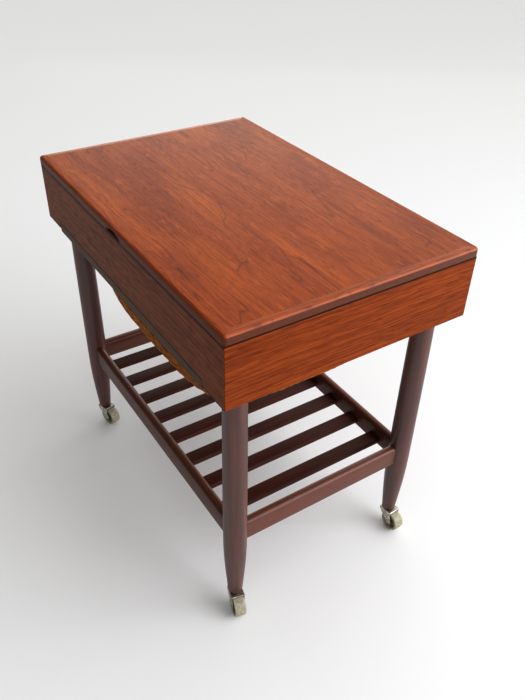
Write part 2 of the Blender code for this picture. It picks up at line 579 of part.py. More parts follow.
def make_basket():
    slide = empty("basket_slide", (0.0, -CASE_Y, BASKET_RAIL_TOP))
    low, high = BASKET_RAIL_BOTTOM, BASKET_RAIL_TOP
    half = BASKET_RAIL_LENGTH / 2
    front = prism(rounded_section(BASKET_FRONT_RAIL_WIDTH / 2, low, high, 0.001, 0.002, 2), -half, half, "X")
    bmesh.ops.translate(front, verts=front.verts, vec=(0.0, -CASE_Y + BASKET_FRONT_RAIL_WIDTH / 2, 0.0))
    piece("basket_front_rail", front, DARK_TEAK, slide, smooth=30)
    back_end = FRAME_BACK_Y + BASKET_BACK_RAIL_WIDTH
    back = box((-FRAME_X + GAP, FRAME_BACK_Y, low), (FRAME_X - GAP, back_end, high))
    piece("basket_back_rail", back, DARK_TEAK, slide)

    tongue_middle = (CASE_BOTTOM + high) / 2
    tongue_low = tongue_middle - RUNNER_TONGUE_HEIGHT / 2
    tongue_high = tongue_middle + RUNNER_TONGUE_HEIGHT / 2
    tongue_x = RUNNER_X - RUNNER_TONGUE_LENGTH
    groove_x = tongue_x - GROOVE_CLEARANCE
    groove_low, groove_high = tongue_low - GROOVE_CLEARANCE, tongue_high + GROOVE_CLEARANCE
    for name, side in (("left", -1), ("right", 1)):
        rail = [(FRAME_X, low), (SIDE_RAIL_X, low), (SIDE_RAIL_X, groove_low), (groove_x, groove_low),
                (groove_x, groove_high), (SIDE_RAIL_X, groove_high), (SIDE_RAIL_X, high), (FRAME_X, high)]
        bm = prism([(side * x, z) for x, z in rail], FRAME_FRONT_Y + GAP, back_end, "Y")
        piece(f"basket_{name}_rail", bm, DARK_TEAK, slide)
        body_x = RUNNER_X + RUNNER_WIDTH
        runner = [(RUNNER_X, CASE_BOTTOM), (body_x, CASE_BOTTOM), (body_x, FLOOR_BOTTOM - GAP),
                  (RUNNER_X, FLOOR_BOTTOM - GAP), (RUNNER_X, tongue_high), (tongue_x, tongue_high),
                  (tongue_x, tongue_low), (RUNNER_X, tongue_low)]
        bm = prism([(side * x, z) for x, z in runner], FRAME_FRONT_Y + GAP, INNER_Y - GAP, "Y")
        piece(f"basket_runner_{name}", bm, PLYWOOD)
    make_wicker_basket(slide)


# ---------------------------------------------------------------- casters
def make_housing(name, swivel, cheek_inner, cheek_outer):
    """Pressed housing: a flat top under the leg, and two cheeks that taper to the axle."""
    top = PLATE_TOP
    back, front = -CASTER_PLATE_BACK, CASTER_PLATE_FRONT
    cheek = [(back, top), (back, top - CHEEK_SHOULDER)]
    cheek += arc((CASTER_TRAIL, WHEEL_RADIUS), CHEEK_END_RADIUS, 205, 375, 8)
    cheek += [(front, top - CHEEK_SHOULDER), (front, top)]
    housing = piece(name, prism(cheek, -cheek_outer, -cheek_inner, "Y"), NICKEL, swivel, local=True, smooth=30)
    other = cutter(f"{name}_far_cheek", prism(cheek, cheek_inner, cheek_outer, "Y"))
    plate = cutter(f"{name}_plate", box((back, -cheek_outer, top - CASTER_PLATE), (front, cheek_outer, top)))
    axle_hole = AXLE_RADIUS + AXLE_CLEARANCE
    stem_hole = STEM_RADIUS + GAP
    reach = cheek_outer * 2
    pin_space = cutter(f"{name}_axle_hole", lathe(
        [(0, -reach), (axle_hole, -reach), (axle_hole, reach), (0, reach)], 16, "Y",
        (CASTER_TRAIL, 0.0, WHEEL_RADIUS)))
    stem_space = cutter(f"{name}_stem_hole", lathe(
        [(0, top - 2 * CASTER_PLATE), (stem_hole, top - 2 * CASTER_PLATE), (stem_hole, top + CASTER_PLATE),
         (0, top + CASTER_PLATE)], 16))
    for tool in (other, plate, pin_space, stem_space):
        tool.parent = swivel
    cut(housing, plate, "UNION")
    cut(housing, other, "UNION")
    cut(housing, pin_space)
    cut(housing, stem_space)


def wheel_profile():
    """Half section of the wheel, bore included: tread, rounded edges, a recess each side, a boss."""
    half = WHEEL_WIDTH / 2
    bore = AXLE_RADIUS + AXLE_CLEARANCE
    floor = half - WHEEL_RECESS_DEPTH
    edge = WHEEL_EDGE_ROUNDING
    boss = half - WHEEL_BOSS_SET_BACK
    side = [(bore, boss), (WHEEL_BOSS_RADIUS, boss), (WHEEL_BOSS_RADIUS + WHEEL_DRAFT, floor),
            (WHEEL_RECESS_RADIUS, floor), (WHEEL_RECESS_RADIUS + WHEEL_DRAFT, half)]
    side += [(r, z) for r, z in reversed(arc((WHEEL_RADIUS - edge, half - edge), edge, 0, 90, 2))]
    return side + [(r, -z) for r, z in reversed(side)]


def make_casters():
    cheek_inner = WHEEL_WIDTH / 2 + CHEEK_CLEARANCE
    cheek_outer = cheek_inner + CASTER_CHEEK
    head_top = PLATE_TOP - CASTER_PLATE - GAP
    for name, (side_x, side_y) in CORNERS.items():
        angle = math.radians(CASTER_ANGLES[name])
        swivel = empty(f"swivel_{name}", (side_x * LEG_X, side_y * LEG_Y, 0.0), angle)
        make_housing(f"caster_housing_{name}", swivel, cheek_inner, cheek_outer)
        tip = LEG_FOOT_HEIGHT + STEM_LENGTH - GAP
        stem = [(0, head_top - STEM_HEAD_HEIGHT), (STEM_HEAD_RADIUS, head_top - STEM_HEAD_HEIGHT),
                (STEM_HEAD_RADIUS, head_top), (STEM_RADIUS, head_top), (STEM_RADIUS, tip - 0.002),
                (STEM_RADIUS * 0.6, tip), (0, tip)]
        piece(f"caster_stem_{name}", lathe(stem, 16, centre=(side_x * LEG_X, side_y * LEG_Y, 0.0)), NICKEL, smooth=30)
        outer = cheek_outer + GAP
        half_axle = [(0, outer + AXLE_HEAD_HEIGHT), (AXLE_HEAD_RADIUS * 0.7, outer + AXLE_HEAD_HEIGHT),
                     (AXLE_HEAD_RADIUS, outer + AXLE_HEAD_HEIGHT * 0.4), (AXLE_HEAD_RADIUS, outer),
                     (AXLE_RADIUS, outer)]
        axle = half_axle + [(r, -z) for r, z in reversed(half_axle)]
        centre = (CASTER_TRAIL, 0.0, WHEEL_RADIUS)
        piece(f"caster_axle_{name}", lathe(axle, 16, "Y", centre), NICKEL, swivel, local=True, smooth=30)
        piece(f"caster_wheel_{name}", lathe(wheel_profile(), 32, "Y"), WHEEL_PLASTIC, swivel, local=True,
              location=centre, smooth=30)


# ---------------------------------------------------------------- build
lid_pivot = make_lid()
make_case()
make_corner_blocks()
make_dividers()
make_hinge(lid_pivot)
make_legs()
make_shelf()
make_basket()
make_casters()
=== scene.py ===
# %% [markdown]
# # A Danish-style sewing table in teak
#
# This lesson dresses a sewing table: a lift-up lid over a shallow case with compartments,
# a woven basket that pulls out below it, four turned legs, a slatted shelf and swivel casters.
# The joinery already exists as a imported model, the frame, in metres with Z up and the front
# facing -Y. Each step below either gives a part of that frame a wood, metal or plastic finish,
# or puts a finer piece where a coarse one would show its facets: turned legs, rounded
# lippings, pressed caster housings, and a basket that is really woven.

import json
import math
import random

import bmesh
import bpy
from mathutils import Matrix, Vector


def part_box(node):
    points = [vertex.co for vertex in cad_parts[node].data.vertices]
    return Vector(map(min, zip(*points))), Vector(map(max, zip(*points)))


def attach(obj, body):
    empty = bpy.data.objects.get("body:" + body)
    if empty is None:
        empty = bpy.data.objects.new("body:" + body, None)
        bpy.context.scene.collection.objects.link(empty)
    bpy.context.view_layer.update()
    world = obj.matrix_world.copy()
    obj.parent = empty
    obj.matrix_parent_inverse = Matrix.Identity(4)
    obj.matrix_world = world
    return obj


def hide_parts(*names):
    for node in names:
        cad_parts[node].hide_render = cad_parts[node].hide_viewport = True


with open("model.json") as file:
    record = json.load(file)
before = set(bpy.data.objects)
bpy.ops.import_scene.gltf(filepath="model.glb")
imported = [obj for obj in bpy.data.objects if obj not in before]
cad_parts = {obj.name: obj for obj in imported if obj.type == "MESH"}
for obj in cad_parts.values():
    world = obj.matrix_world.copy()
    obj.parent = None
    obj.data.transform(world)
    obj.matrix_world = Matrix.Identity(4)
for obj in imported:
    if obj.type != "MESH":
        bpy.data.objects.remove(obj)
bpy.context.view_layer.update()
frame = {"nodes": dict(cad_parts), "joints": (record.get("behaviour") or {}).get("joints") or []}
nodes = frame["nodes"]

CORNERS = ("front_right", "back_right", "front_left", "back_left")
MM = 0.001

# %% [markdown]
# ## Helpers
#
# Four small functions carry the whole lesson. `tone` turns a hex colour, as a paint chart gives
# it, into the linear numbers that Blender's shaders expect. `add` puts one node in a tree, with
# its settings and links. `finish` starts a material. `piece` turns a mesh into an object that
# rides on a body of the frame.


# %% Colours, nodes and materials
def tone(code):
    """A hex sRGB colour as linear red, green, blue and alpha."""
    parts = [int(code[i:i + 2], 16) / 255 for i in (1, 3, 5)]
    return [c / 12.92 if c <= 0.04045 else ((c + 0.055) / 1.055) ** 2.4 for c in parts] + [1.0]


def add(tree, kind, inputs=None, stops=None, **settings):
    """Adds one node: its settings, its inputs (numbers or other nodes' outputs) and any ramp stops."""
    node = tree.nodes.new(kind)
    for key, value in settings.items():
        setattr(node, key, value)
    for key, value in (inputs or {}).items():
        if isinstance(value, bpy.types.NodeSocket):
            tree.links.new(value, node.inputs[key])
        else:
            node.inputs[key].default_value = value
    for i, (place, code) in enumerate(stops or []):
        marks = node.color_ramp.elements
        mark = marks[i] if i < len(marks) else marks.new(place)
        mark.position, mark.color = place, tone(code)
    return node


def finish(name, code, **sockets):
    """A material with one plain shader; the sockets are set on the shader itself."""
    material = bpy.data.materials.new(name)
    material.use_nodes = True
    tree = material.node_tree
    tree.nodes.clear()
    shader = add(tree, "ShaderNodeBsdfPrincipled", {"Base Color": tone(code), **sockets})
    add(tree, "ShaderNodeOutputMaterial", {"Surface": shader.outputs["BSDF"]})
    return material, tree, shader


def mottle(tree, shader, stops, scale, detail, roughness=0.5):
    """Lets a noise pick the base colour from a ramp; returns the noise's value and the place."""
    place = add(tree, "ShaderNodeTexCoord").outputs["Object"]
    noise = add(tree, "ShaderNodeTexNoise", {"Vector": place, "Scale": scale, "Detail": detail,
                                             "Roughness": roughness})
    ramp = add(tree, "ShaderNodeValToRGB", {"Fac": noise.outputs["Fac"]}, stops)
    tree.links.new(ramp.outputs["Color"], shader.inputs["Base Color"])
    return noise.outputs["Fac"], place


def dress(material, *names):
    """Gives CAD nodes a finish through their own material slots."""
    for name in names:
        for spot in nodes[name].material_slots:
            spot.material = material


# %% Meshes and pieces
def piece(name, shape, body, material, replaces=(), crease=30):
    """An object from a bmesh or a mesh: smooth up to the crease angle, riding on a body."""
    if isinstance(shape, bmesh.types.BMesh):
        mesh = bpy.data.meshes.new(name)
        shape.to_mesh(mesh)
        shape.free()
    else:
        mesh = shape
        mesh.name = name
    mesh.polygons.foreach_set("use_smooth", [True] * len(mesh.polygons))
    mesh.set_sharp_from_angle(angle=math.radians(crease))
    mesh.materials.clear()
    mesh.materials.append(material)
    made = bpy.data.objects.new(name, mesh)
    bpy.context.scene.collection.objects.link(made)
    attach(made, body)
    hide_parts(*replaces)
    print(f"{name}: {sum(len(p.vertices) - 2 for p in mesh.polygons)} triangles on {body}")
    return made


def arc(centre, radius, start, end, steps):
    """Points of an arc, angles in degrees, both ends included."""
    turns = [math.radians(start + (end - start) * i / steps) for i in range(steps + 1)]
    return [(centre[0] + radius * math.cos(t), centre[1] + radius * math.sin(t)) for t in turns]


def set_out(axis, a, b, along):
    """A section's point (a, b) at a place along an axis, as x, y and z."""
    return {"Z": (a, b, along), "X": (along, a, b), "Y": (a, along, b)}[axis]


def prism(outline, low, high, axis="Z"):
    """An outline pushed from low to high along an axis."""
    bm = bmesh.new()
    ends = [[bm.verts.new(set_out(axis, a, b, level)) for a, b in outline] for level in (low, high)]
    for i in range(len(outline)):
        j = (i + 1) % len(outline)
        bm.faces.new([ends[0][i], ends[0][j], ends[1][j], ends[1][i]])
    bm.faces.new(ends[0])
    bm.faces.new(ends[1])
    bmesh.ops.recalc_face_normals(bm, faces=bm.faces)
    return bm


def lathe(profile, segments, axis="Z", centre=(0.0, 0.0, 0.0)):
    """Turns (radius, distance along the axis) points; it closes where the radius is 0."""
    bm = bmesh.new()
    rings = []
    for radius, along in profile:
        turns = [2 * math.pi * i / segments for i in range(1 if radius == 0 else segments)]
        rings.append([bm.verts.new(Vector(set_out(axis, radius * math.cos(t), radius * math.sin(t), along))
                                   + Vector(centre)) for t in turns])
    closed = profile[0][0] != 0 and profile[-1][0] != 0
    for first, second in list(zip(rings, rings[1:])) + ([(rings[-1], rings[0])] if closed else []):
        for i in range(segments):
            j = (i + 1) % segments
            ring = [first[i % len(first)], first[j % len(first)], second[j % len(second)], second[i % len(second)]]
            bm.faces.new(list(dict.fromkeys(ring)))
    bmesh.ops.recalc_face_normals(bm, faces=bm.faces)
    return bm


def cut(bm, tool, operation="DIFFERENCE"):
    """One bmesh with another cut from it, or joined to it."""
    pair = []
    for shape in (bm, tool):
        mesh = bpy.data.meshes.new("blank")
        shape.to_mesh(mesh)
        shape.free()
        pair.append(bpy.data.objects.new("blank", mesh))
        bpy.context.scene.collection.objects.link(pair[-1])
    knife = pair[0].modifiers.new("cut", "BOOLEAN")
    knife.operation, knife.object, knife.solver = operation, pair[1], "EXACT"
    bpy.context.view_layer.update()
    result = bmesh.new()
    result.from_mesh(pair[0].evaluated_get(bpy.context.evaluated_depsgraph_get()).to_mesh())
    for blank in pair:
        mesh = blank.data
        bpy.data.objects.remove(blank)
        bpy.data.meshes.remove(mesh)
    return result


# %% [markdown]
# ## Geometry Nodes
#
# A tree that repeats a shape is written once and then fed with sizes. `new_tree` makes its named
# inputs, `close_tree` ends it in Realize Instances and Set Material, and `row_tree` is the whole
# tree for a row of copies. `grow` runs a tree and hands back a plain mesh, so nothing live is left
# on the finished piece.


# %% Trees
def new_tree(name, sizes):
    """A geometry tree with a mesh input and one named input for each size."""
    tree = bpy.data.node_groups.new(name, "GeometryNodeTree")
    tree.interface.new_socket("Geometry", in_out="INPUT", socket_type="NodeSocketGeometry")
    for label, value in sizes.items():
        kind = "NodeSocketInt" if isinstance(value, int) else "NodeSocketFloat"
        tree.interface.new_socket(label, in_out="INPUT", socket_type=kind).default_value = value
    tree.interface.new_socket("Geometry", in_out="OUTPUT", socket_type="NodeSocketGeometry")
    start = add(tree, "NodeGroupInput")
    return tree, start.outputs


def close_tree(tree, geometry, material):
    """Ends a tree: real geometry instead of instances, with its finish on."""
    real = add(tree, "GeometryNodeRealizeInstances", {"Geometry": geometry})
    painted = add(tree, "GeometryNodeSetMaterial", {"Geometry": real.outputs[0], "Material": material})
    add(tree, "NodeGroupOutput", {0: painted.outputs[0]})


def row_tree(name, sizes, axis, material):
    """A tree that sets its seed shape out in an even row along an axis: Count, First and Pitch."""
    tree, given = new_tree(name, sizes)
    begin = add(tree, "ShaderNodeCombineXYZ", {axis: given["First"]})
    step = add(tree, "ShaderNodeCombineXYZ", {axis: given["Pitch"]})
    line = add(tree, "GeometryNodeMeshLine", {"Count": given["Count"], "Start Location": begin.outputs[0],
                                              "Offset": step.outputs[0]})
    copies = add(tree, "GeometryNodeInstanceOnPoints", {"Points": line.outputs[0], "Instance": given["Geometry"]})
    close_tree(tree, copies.outputs[0], material)
    return tree


def grow(tree, sizes, seed_shape=None):
    """Runs a tree with its sizes, on a seed shape if it needs one, and returns a plain mesh."""
    mesh = bpy.data.meshes.new("seed")
    if seed_shape is not None:
        seed_shape.to_mesh(mesh)
        seed_shape.free()
    carrier = bpy.data.objects.new("carrier", mesh)
    bpy.context.scene.collection.objects.link(carrier)
    modifier = carrier.modifiers.new("grow", "NODES")
    modifier.node_group = tree
    for socket in tree.interface.items_tree:
        if socket.in_out == "INPUT" and socket.name in sizes:
            modifier[socket.identifier] = sizes[socket.name]
    bpy.context.view_layer.update()
    grown = bpy.data.meshes.new_from_object(carrier.evaluated_get(bpy.context.evaluated_depsgraph_get()))
    bpy.data.objects.remove(carrier)
    bpy.data.meshes.remove(mesh)
    return grown


# %% [markdown]
# ## The camera
#
# The table is seen from above its front right corner, at about the eye height of someone who
# stands a metre away. The camera is rolled by a degree and a half, as a hand-held one is.

# %% Camera
VIEW_TURN, VIEW_FALL, VIEW_ROLL = 56.06, 36.84, 1.587  # degrees
camera = bpy.data.objects.new("camera", bpy.data.cameras.new("camera"))
bpy.context.scene.collection.objects.link(camera)
camera.data.sensor_fit = "VERTICAL"
camera.data.sensor_height = 36.0
camera.data.lens = 36.14
camera.location = (0.8617, -0.5231, 1.0502)
camera.rotation_mode = "QUATERNION"
look = (Matrix.Rotation(math.radians(VIEW_TURN), 3, "Z") @ Matrix.Rotation(math.radians(90 - VIEW_FALL), 3, "X")
        @ Matrix.Rotation(math.radians(VIEW_ROLL), 3, "Z"))
camera.rotation_quaternion = look.to_quaternion()
bpy.context.scene.camera = camera
print("camera at", tuple(camera.location))

# %% [markdown]
# ## Floor and light
#
# The floor is plain and nearly white. One large soft light stands to the right and behind, as
# a shop window would, so the right-hand end glows and the long front stays in shade. A broad,
# weak, warm light to the left and behind stands for a cream wall and puts the soft sheen on the
# lid. The world fills the shade.

# %% Floor
FLOOR_SIDE = 30.0
ground = prism([(-FLOOR_SIDE, -FLOOR_SIDE), (FLOOR_SIDE, -FLOOR_SIDE), (FLOOR_SIDE, FLOOR_SIDE),
                (-FLOOR_SIDE, FLOOR_SIDE)], -0.02, 0.0)
ground_mesh = bpy.data.meshes.new("floor")
ground.to_mesh(ground_mesh)
ground.free()
floor = bpy.data.objects.new("floor", ground_mesh)
bpy.context.scene.collection.objects.link(floor)
floor_paint, _, _ = finish("matt_white_floor", "#e4e4e4", Roughness=0.8, **{"Specular IOR Level": 0.05})
ground_mesh.materials.append(floor_paint)

# %% Lights
scene = bpy.context.scene
scene.view_settings.view_transform = "Standard"
scene.view_settings.gamma = 0.82  # deeper shade, as a print has
world = bpy.data.worlds.new("studio")
scene.world = world
world.use_nodes = True
world.node_tree.nodes.clear()
# The studio is brighter on the window's side: the direction's share towards it sets the strength.
BRIGHT_SIDE, SHADE, GLOW = (0.42, 0.86, 0.28), 0.12, 1.97
toward = add(world.node_tree, "ShaderNodeTexCoord")
share = add(world.node_tree, "ShaderNodeVectorMath", {0: toward.outputs["Generated"], 1: BRIGHT_SIDE},
            operation="DOT_PRODUCT")
strength = add(world.node_tree, "ShaderNodeMapRange", {"Value": share.outputs["Value"], "From Min": -0.6,
                                                       "From Max": 0.9, "To Min": SHADE, "To Max": GLOW})
sky = add(world.node_tree, "ShaderNodeBackground", {"Color": tone("#f2f2f1"), "Strength": strength.outputs[0]})
add(world.node_tree, "ShaderNodeOutputWorld", {"Surface": sky.outputs[0]})


def soft_light(name, place, target, side, height, power, code):
    """A rectangular area light aimed at a point."""
    lamp = bpy.data.lights.new(name, "AREA")
    lamp.shape, lamp.size, lamp.size_y, lamp.energy = "RECTANGLE", side, height, power
    lamp.color = tone(code)[:3]
    made = bpy.data.objects.new(name, lamp)
    scene.collection.objects.link(made)
    made.location = place
    made.rotation_euler = (Vector(target) - Vector(place)).to_track_quat("-Z", "Y").to_euler()
    return made


soft_light("window", (2.3, 1.7, 1.7), (0.0, 0.0, 0.35), 2.6, 2.2, 75.0, "#f8faff")
sheen = soft_light("cream_wall", (-2.4, 1.8, 0.9), (0.0, 0.0, 0.5), 3.0, 1.6, 38.0, "#fff2e2")
sheen.visible_diffuse = False  # it is there for the gloss only

# %% [markdown]
# ## Teak
#
# Teak is a warm orange-brown wood that darkens to red with age. Sawn veneer shows long dark
# growth lines that wander, a soft mottle across the grain, and fine open pores as short dark
# dashes. Oil leaves it satin, not glossy. The pores of real teak are about 0.3 mm wide, which is
# too fine to see here, so they are drawn about three times as coarse.
#
# The pattern is computed from the place in the wood: one coordinate runs along the grain, the
# other across it. The two directions across are added up, so that every face gets its
# own streaks and they run over a rounded edge without a seam.

# %% Teak finish
GRAIN = {"X": ("X", "Y", "Z"), "Y": ("Y", "X", "Z"), "Z": ("Z", "X", "Y")}
SWAY_SCALE, SWAY = 9.0, 0.010        # how often the grain wanders, and by how much
GROWTH_STRETCH = (1.5, 10.0, 1.0)    # growth lines run about seven times as far along as across
# Painted shade in the seams over and under a case panel: its colour, the fade into it and its share.
SEAM_SHADE, SEAM_SHADE_FADE, SEAM_SHADE_SHARE = "#1d0a05", 1.1 * MM, 0.92


def wood(name, grain, ground, layers, shift=0.0, growth=None, roughness=0.38, gloss=0.3, relief=0.12,
         dark_above=None, dark_below=None, side=None):
    """Wood with its grain along an axis.

    Each layer is (length, width in mm, from, to, colour, share): a noise of that size mixes the
    colour in where its value lies past from, fully at to. growth is (lines, line share, colour,
    share) for the thin wandering growth lines. dark_above and dark_below are (height, reach) of the
    painted shade in the seams over and under a panel. side is (from, to, colour, share) for painted
    shade on the side faces, darker than the top: the colour fades in between the two heights. The
    last layer is the finest one, and it also dulls and sinks the surface.
    """
    material, tree, shader = finish(name, ground, Roughness=roughness,
                                    **{"IOR": 1.5, "Specular IOR Level": gloss})
    place = add(tree, "ShaderNodeTexCoord")
    split = add(tree, "ShaderNodeSeparateXYZ", {"Vector": place.outputs["Object"]})
    along, breadth, depth = (split.outputs[axis] for axis in GRAIN[grain])
    across = add(tree, "ShaderNodeMath", {0: breadth, 1: depth}, operation="ADD")
    board = add(tree, "ShaderNodeCombineXYZ", {"X": along, "Y": across.outputs[0], "Z": shift})
    sway = add(tree, "ShaderNodeTexNoise", {"Vector": board.outputs[0], "Scale": SWAY_SCALE, "Detail": 2.0})
    drift = add(tree, "ShaderNodeMath", {0: sway.outputs["Fac"], 1: SWAY, 2: across.outputs[0]},
                operation="MULTIPLY_ADD")
    bent = add(tree, "ShaderNodeCombineXYZ", {"X": along, "Y": drift.outputs[0], "Z": shift})
    coats = []  # where each colour goes, and the colour
    for length, width, low, high, tint, share in layers:
        scaled = add(tree, "ShaderNodeVectorMath",
                     {0: bent.outputs[0], 1: (1 / (length * MM), 1 / (width * MM), 1.0)}, operation="MULTIPLY")
        noise = add(tree, "ShaderNodeTexNoise", {"Vector": scaled.outputs[0], "Scale": 1.0, "Detail": 2.0})
        mask = add(tree, "ShaderNodeMapRange", {"Value": noise.outputs["Fac"], "From Min": low,
                                                "From Max": high, "To Max": share})
        coats.append((mask.outputs[0], tint))
    finest = coats[-1][0]
    if growth:
        spacing, fine, tint, share = growth
        scaled = add(tree, "ShaderNodeVectorMath", {0: bent.outputs[0], 1: GROWTH_STRETCH}, operation="MULTIPLY")
        hill = add(tree, "ShaderNodeTexNoise", {"Vector": scaled.outputs[0], "Scale": 1.0, "Detail": 2.5,
                                                "Roughness": 0.42})
        rings = add(tree, "ShaderNodeMath", {0: hill.outputs["Fac"], 1: spacing}, operation="MULTIPLY")
        part = add(tree, "ShaderNodeMath", {0: rings.outputs[0], 1: 0.5}, operation="PINGPONG")
        line = add(tree, "ShaderNodeMapRange", {"Value": part.outputs[0], "From Min": fine, "From Max": 0.0,
                                                "To Max": share})
        coats.append((line.outputs[0], tint))
    # Painted shade on the side faces: below a given height a darker colour fades in, against the lit top.
    if side:
        top, edge, tint, share = side
        fade = add(tree, "ShaderNodeMapRange", {"Value": split.outputs["Z"], "From Min": top, "From Max": edge,
                                                "To Max": share})
        coats.append((fade.outputs[0], tint))
    # Painted shade in the seams: a dark band just under the panel's top edge, below the lid, and just over its bottom
    # edge.
    for band, way in ((dark_above, 1), (dark_below, -1)):
        if not band:
            continue
        joint, reach = band
        start = joint - way * reach
        seam_shade = add(tree, "ShaderNodeMapRange", {"Value": split.outputs["Z"], "From Min": start,
                                                "From Max": start + way * SEAM_SHADE_FADE, "To Max": SEAM_SHADE_SHARE})
        where = seam_shade.outputs[0]
        if band is dark_above:  # the panel's top edge itself gets no painted shade
            under = add(tree, "ShaderNodeMath", {0: split.outputs["Z"], 1: joint - 0.05 * MM},
                        operation="LESS_THAN")
            where = add(tree, "ShaderNodeMath", {0: where, 1: under.outputs[0]}, operation="MULTIPLY").outputs[0]
        coats.append((where, SEAM_SHADE))
    colour = tone(ground)
    for where, tint in coats:
        mixed = add(tree, "ShaderNodeMix", {"Factor": where, 6: colour, 7: tone(tint)}, data_type="RGBA")
        colour = mixed.outputs[2]
    tree.links.new(colour, shader.inputs["Base Color"])
    dull = add(tree, "ShaderNodeMapRange", {"Value": finest, "To Min": roughness, "To Max": roughness + 0.15})
    tree.links.new(dull.outputs[0], shader.inputs["Roughness"])
    bump = add(tree, "ShaderNodeBump", {"Strength": relief, "Distance": 0.4 * MM, "Height": finest}, invert=True)
    tree.links.new(bump.outputs[0], shader.inputs["Normal"])
    return material


VENEER_LAYERS = [
    (240, 34, 0.40, 0.66, "#b55d1c", 0.65),   # broad warm bands
    (190, 75, 0.46, 0.64, "#7c2f10", 0.45),   # darker clouds
    (150, 12, 0.46, 0.70, "#732f14", 0.50),   # darker stripes
    (26, 10, 0.56, 0.76, "#b8602a", 0.50),    # short flecks of light wood
    (110, 1.9, 0.45, 0.69, "#5e2210", 0.45),  # fibre
    (17, 1.1, 0.54, 0.68, "#3f140a", 0.45),   # pores
]
FRONT_LAYERS = [
    (320, 10, 0.42, 0.68, "#935022", 0.55),
    (260, 4.5, 0.46, 0.68, "#5c2c18", 0.60),
    (130, 1.9, 0.44, 0.66, "#47200f", 0.60),
    (24, 1.2, 0.50, 0.64, "#35170b", 0.60),
]
END_LAYERS = [
    (320, 10, 0.42, 0.68, "#a34e18", 0.50),
    (260, 3.4, 0.48, 0.70, "#6f2d10", 0.40),
    (130, 1.9, 0.45, 0.67, "#521b09", 0.60),
    (24, 1.0, 0.50, 0.64, "#3b1208", 0.50),
]
CASE_BOTTOM, CASE_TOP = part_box("front_panel")[0].z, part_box("front_panel")[1].z
lid_veneer = wood("teak_veneer_oiled_lid", "X", "#9d4a1c", VENEER_LAYERS, 0.3,
                  (12.0, 0.035, "#4c1b0b", 0.45), 0.38, 0.13)
# dark_above and dark_below paint shade into the seams at the case's top and bottom edges.
front_veneer = wood("teak_veneer_oiled_front", "X", "#844523", FRONT_LAYERS, 4.1, None, 0.5, 0.14,
                    dark_above=(CASE_TOP, 5.2 * MM), dark_below=(CASE_BOTTOM, 3.0 * MM))
end_veneer = wood("teak_veneer_oiled_end", "Y", "#8b4215", END_LAYERS, 7.7, None, 0.48, 0.09,
                  dark_above=(CASE_TOP, 3.3 * MM))
dress(lid_veneer, "lid_panel")
dress(front_veneer, "front_panel", "back_panel")
dress(end_veneer, "left_end_panel", "right_end_panel")

# %% [markdown]
# ## Lipping round the lid
#
# The lid's edge is a strip of solid teak on each side, mitred at the corners, with a rounded
# upper arris that catches the light. A profile is carried round the corner in small steps, so
# that the rounding stays smooth where the eye lands first. The scoop in the front strip is the
# finger pull.

# %% Lipping shapes
lid_low, lid_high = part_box("lid_panel")
lip_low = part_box("lipping_front")[0]
LID_HALF_X, LID_HALF_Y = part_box("lipping_right")[1].x, -lip_low.y
LID_BOTTOM, LID_TOP = lid_low.z, lid_high.z
LIP_WIDTH = LID_HALF_X - lid_high.x  # the veneered panel sits tight against it
PLAN_RADIUS, ARRIS_RADIUS, JOINT_GAP = 6 * MM, 5 * MM, 0.3 * MM
CORNER_STEPS, ARRIS_STEPS = 6, 10
print("lid underside", LID_BOTTOM, "top", LID_TOP, "lipping", LIP_WIDTH)


def lipping(turns):
    """One mitred strip; turns counts quarter turns from the front."""
    half_x, half_y = (LID_HALF_X, LID_HALF_Y) if turns % 2 == 0 else (LID_HALF_Y, LID_HALF_X)
    inner = LIP_WIDTH - 0.02 * MM
    rounding = arc((ARRIS_RADIUS, LID_TOP - ARRIS_RADIUS), ARRIS_RADIUS, 180, 90, ARRIS_STEPS)
    section = [(0.0, LID_BOTTOM)] + rounding + [(inner, LID_TOP), (inner, LID_BOTTOM)]
    stations = [(-1, 225 + 45 * i / CORNER_STEPS) for i in range(CORNER_STEPS + 1)]
    stations += [(1, 270 + 45 * i / CORNER_STEPS) for i in range(CORNER_STEPS + 1)]
    quarter = Matrix.Rotation(math.radians(90 * turns), 3, "Z")
    bm = bmesh.new()
    rings = []
    for side, angle in stations:
        ring = []
        for inward, height in section:
            radius, corner = max(PLAN_RADIUS - inward, 0.0), max(PLAN_RADIUS, inward)
            x = side * (half_x - corner - JOINT_GAP / 2) + radius * math.cos(math.radians(angle))
            y = corner - half_y + radius * math.sin(math.radians(angle))
            ring.append(bm.verts.new(quarter @ Vector((x, y, height))))
        rings.append(ring)
    for first, second in zip(rings, rings[1:]):
        for i in range(len(section)):
            j = (i + 1) % len(section)
            bm.faces.new([first[i], first[j], second[j], second[i]])
    bm.faces.new(rings[0])
    bm.faces.new(rings[-1])
    bmesh.ops.remove_doubles(bm, verts=bm.verts, dist=0.01 * MM)
    bmesh.ops.recalc_face_normals(bm, faces=bm.faces)
    return bm


# %% Lipping pieces
LIP_LAYERS = [
    (120, 9, 0.45, 0.68, "#a8562c", 0.5),
    (60, 2.6, 0.47, 0.68, "#672a14", 0.60),
    (16, 1.1, 0.54, 0.70, "#45190d", 0.55),
]
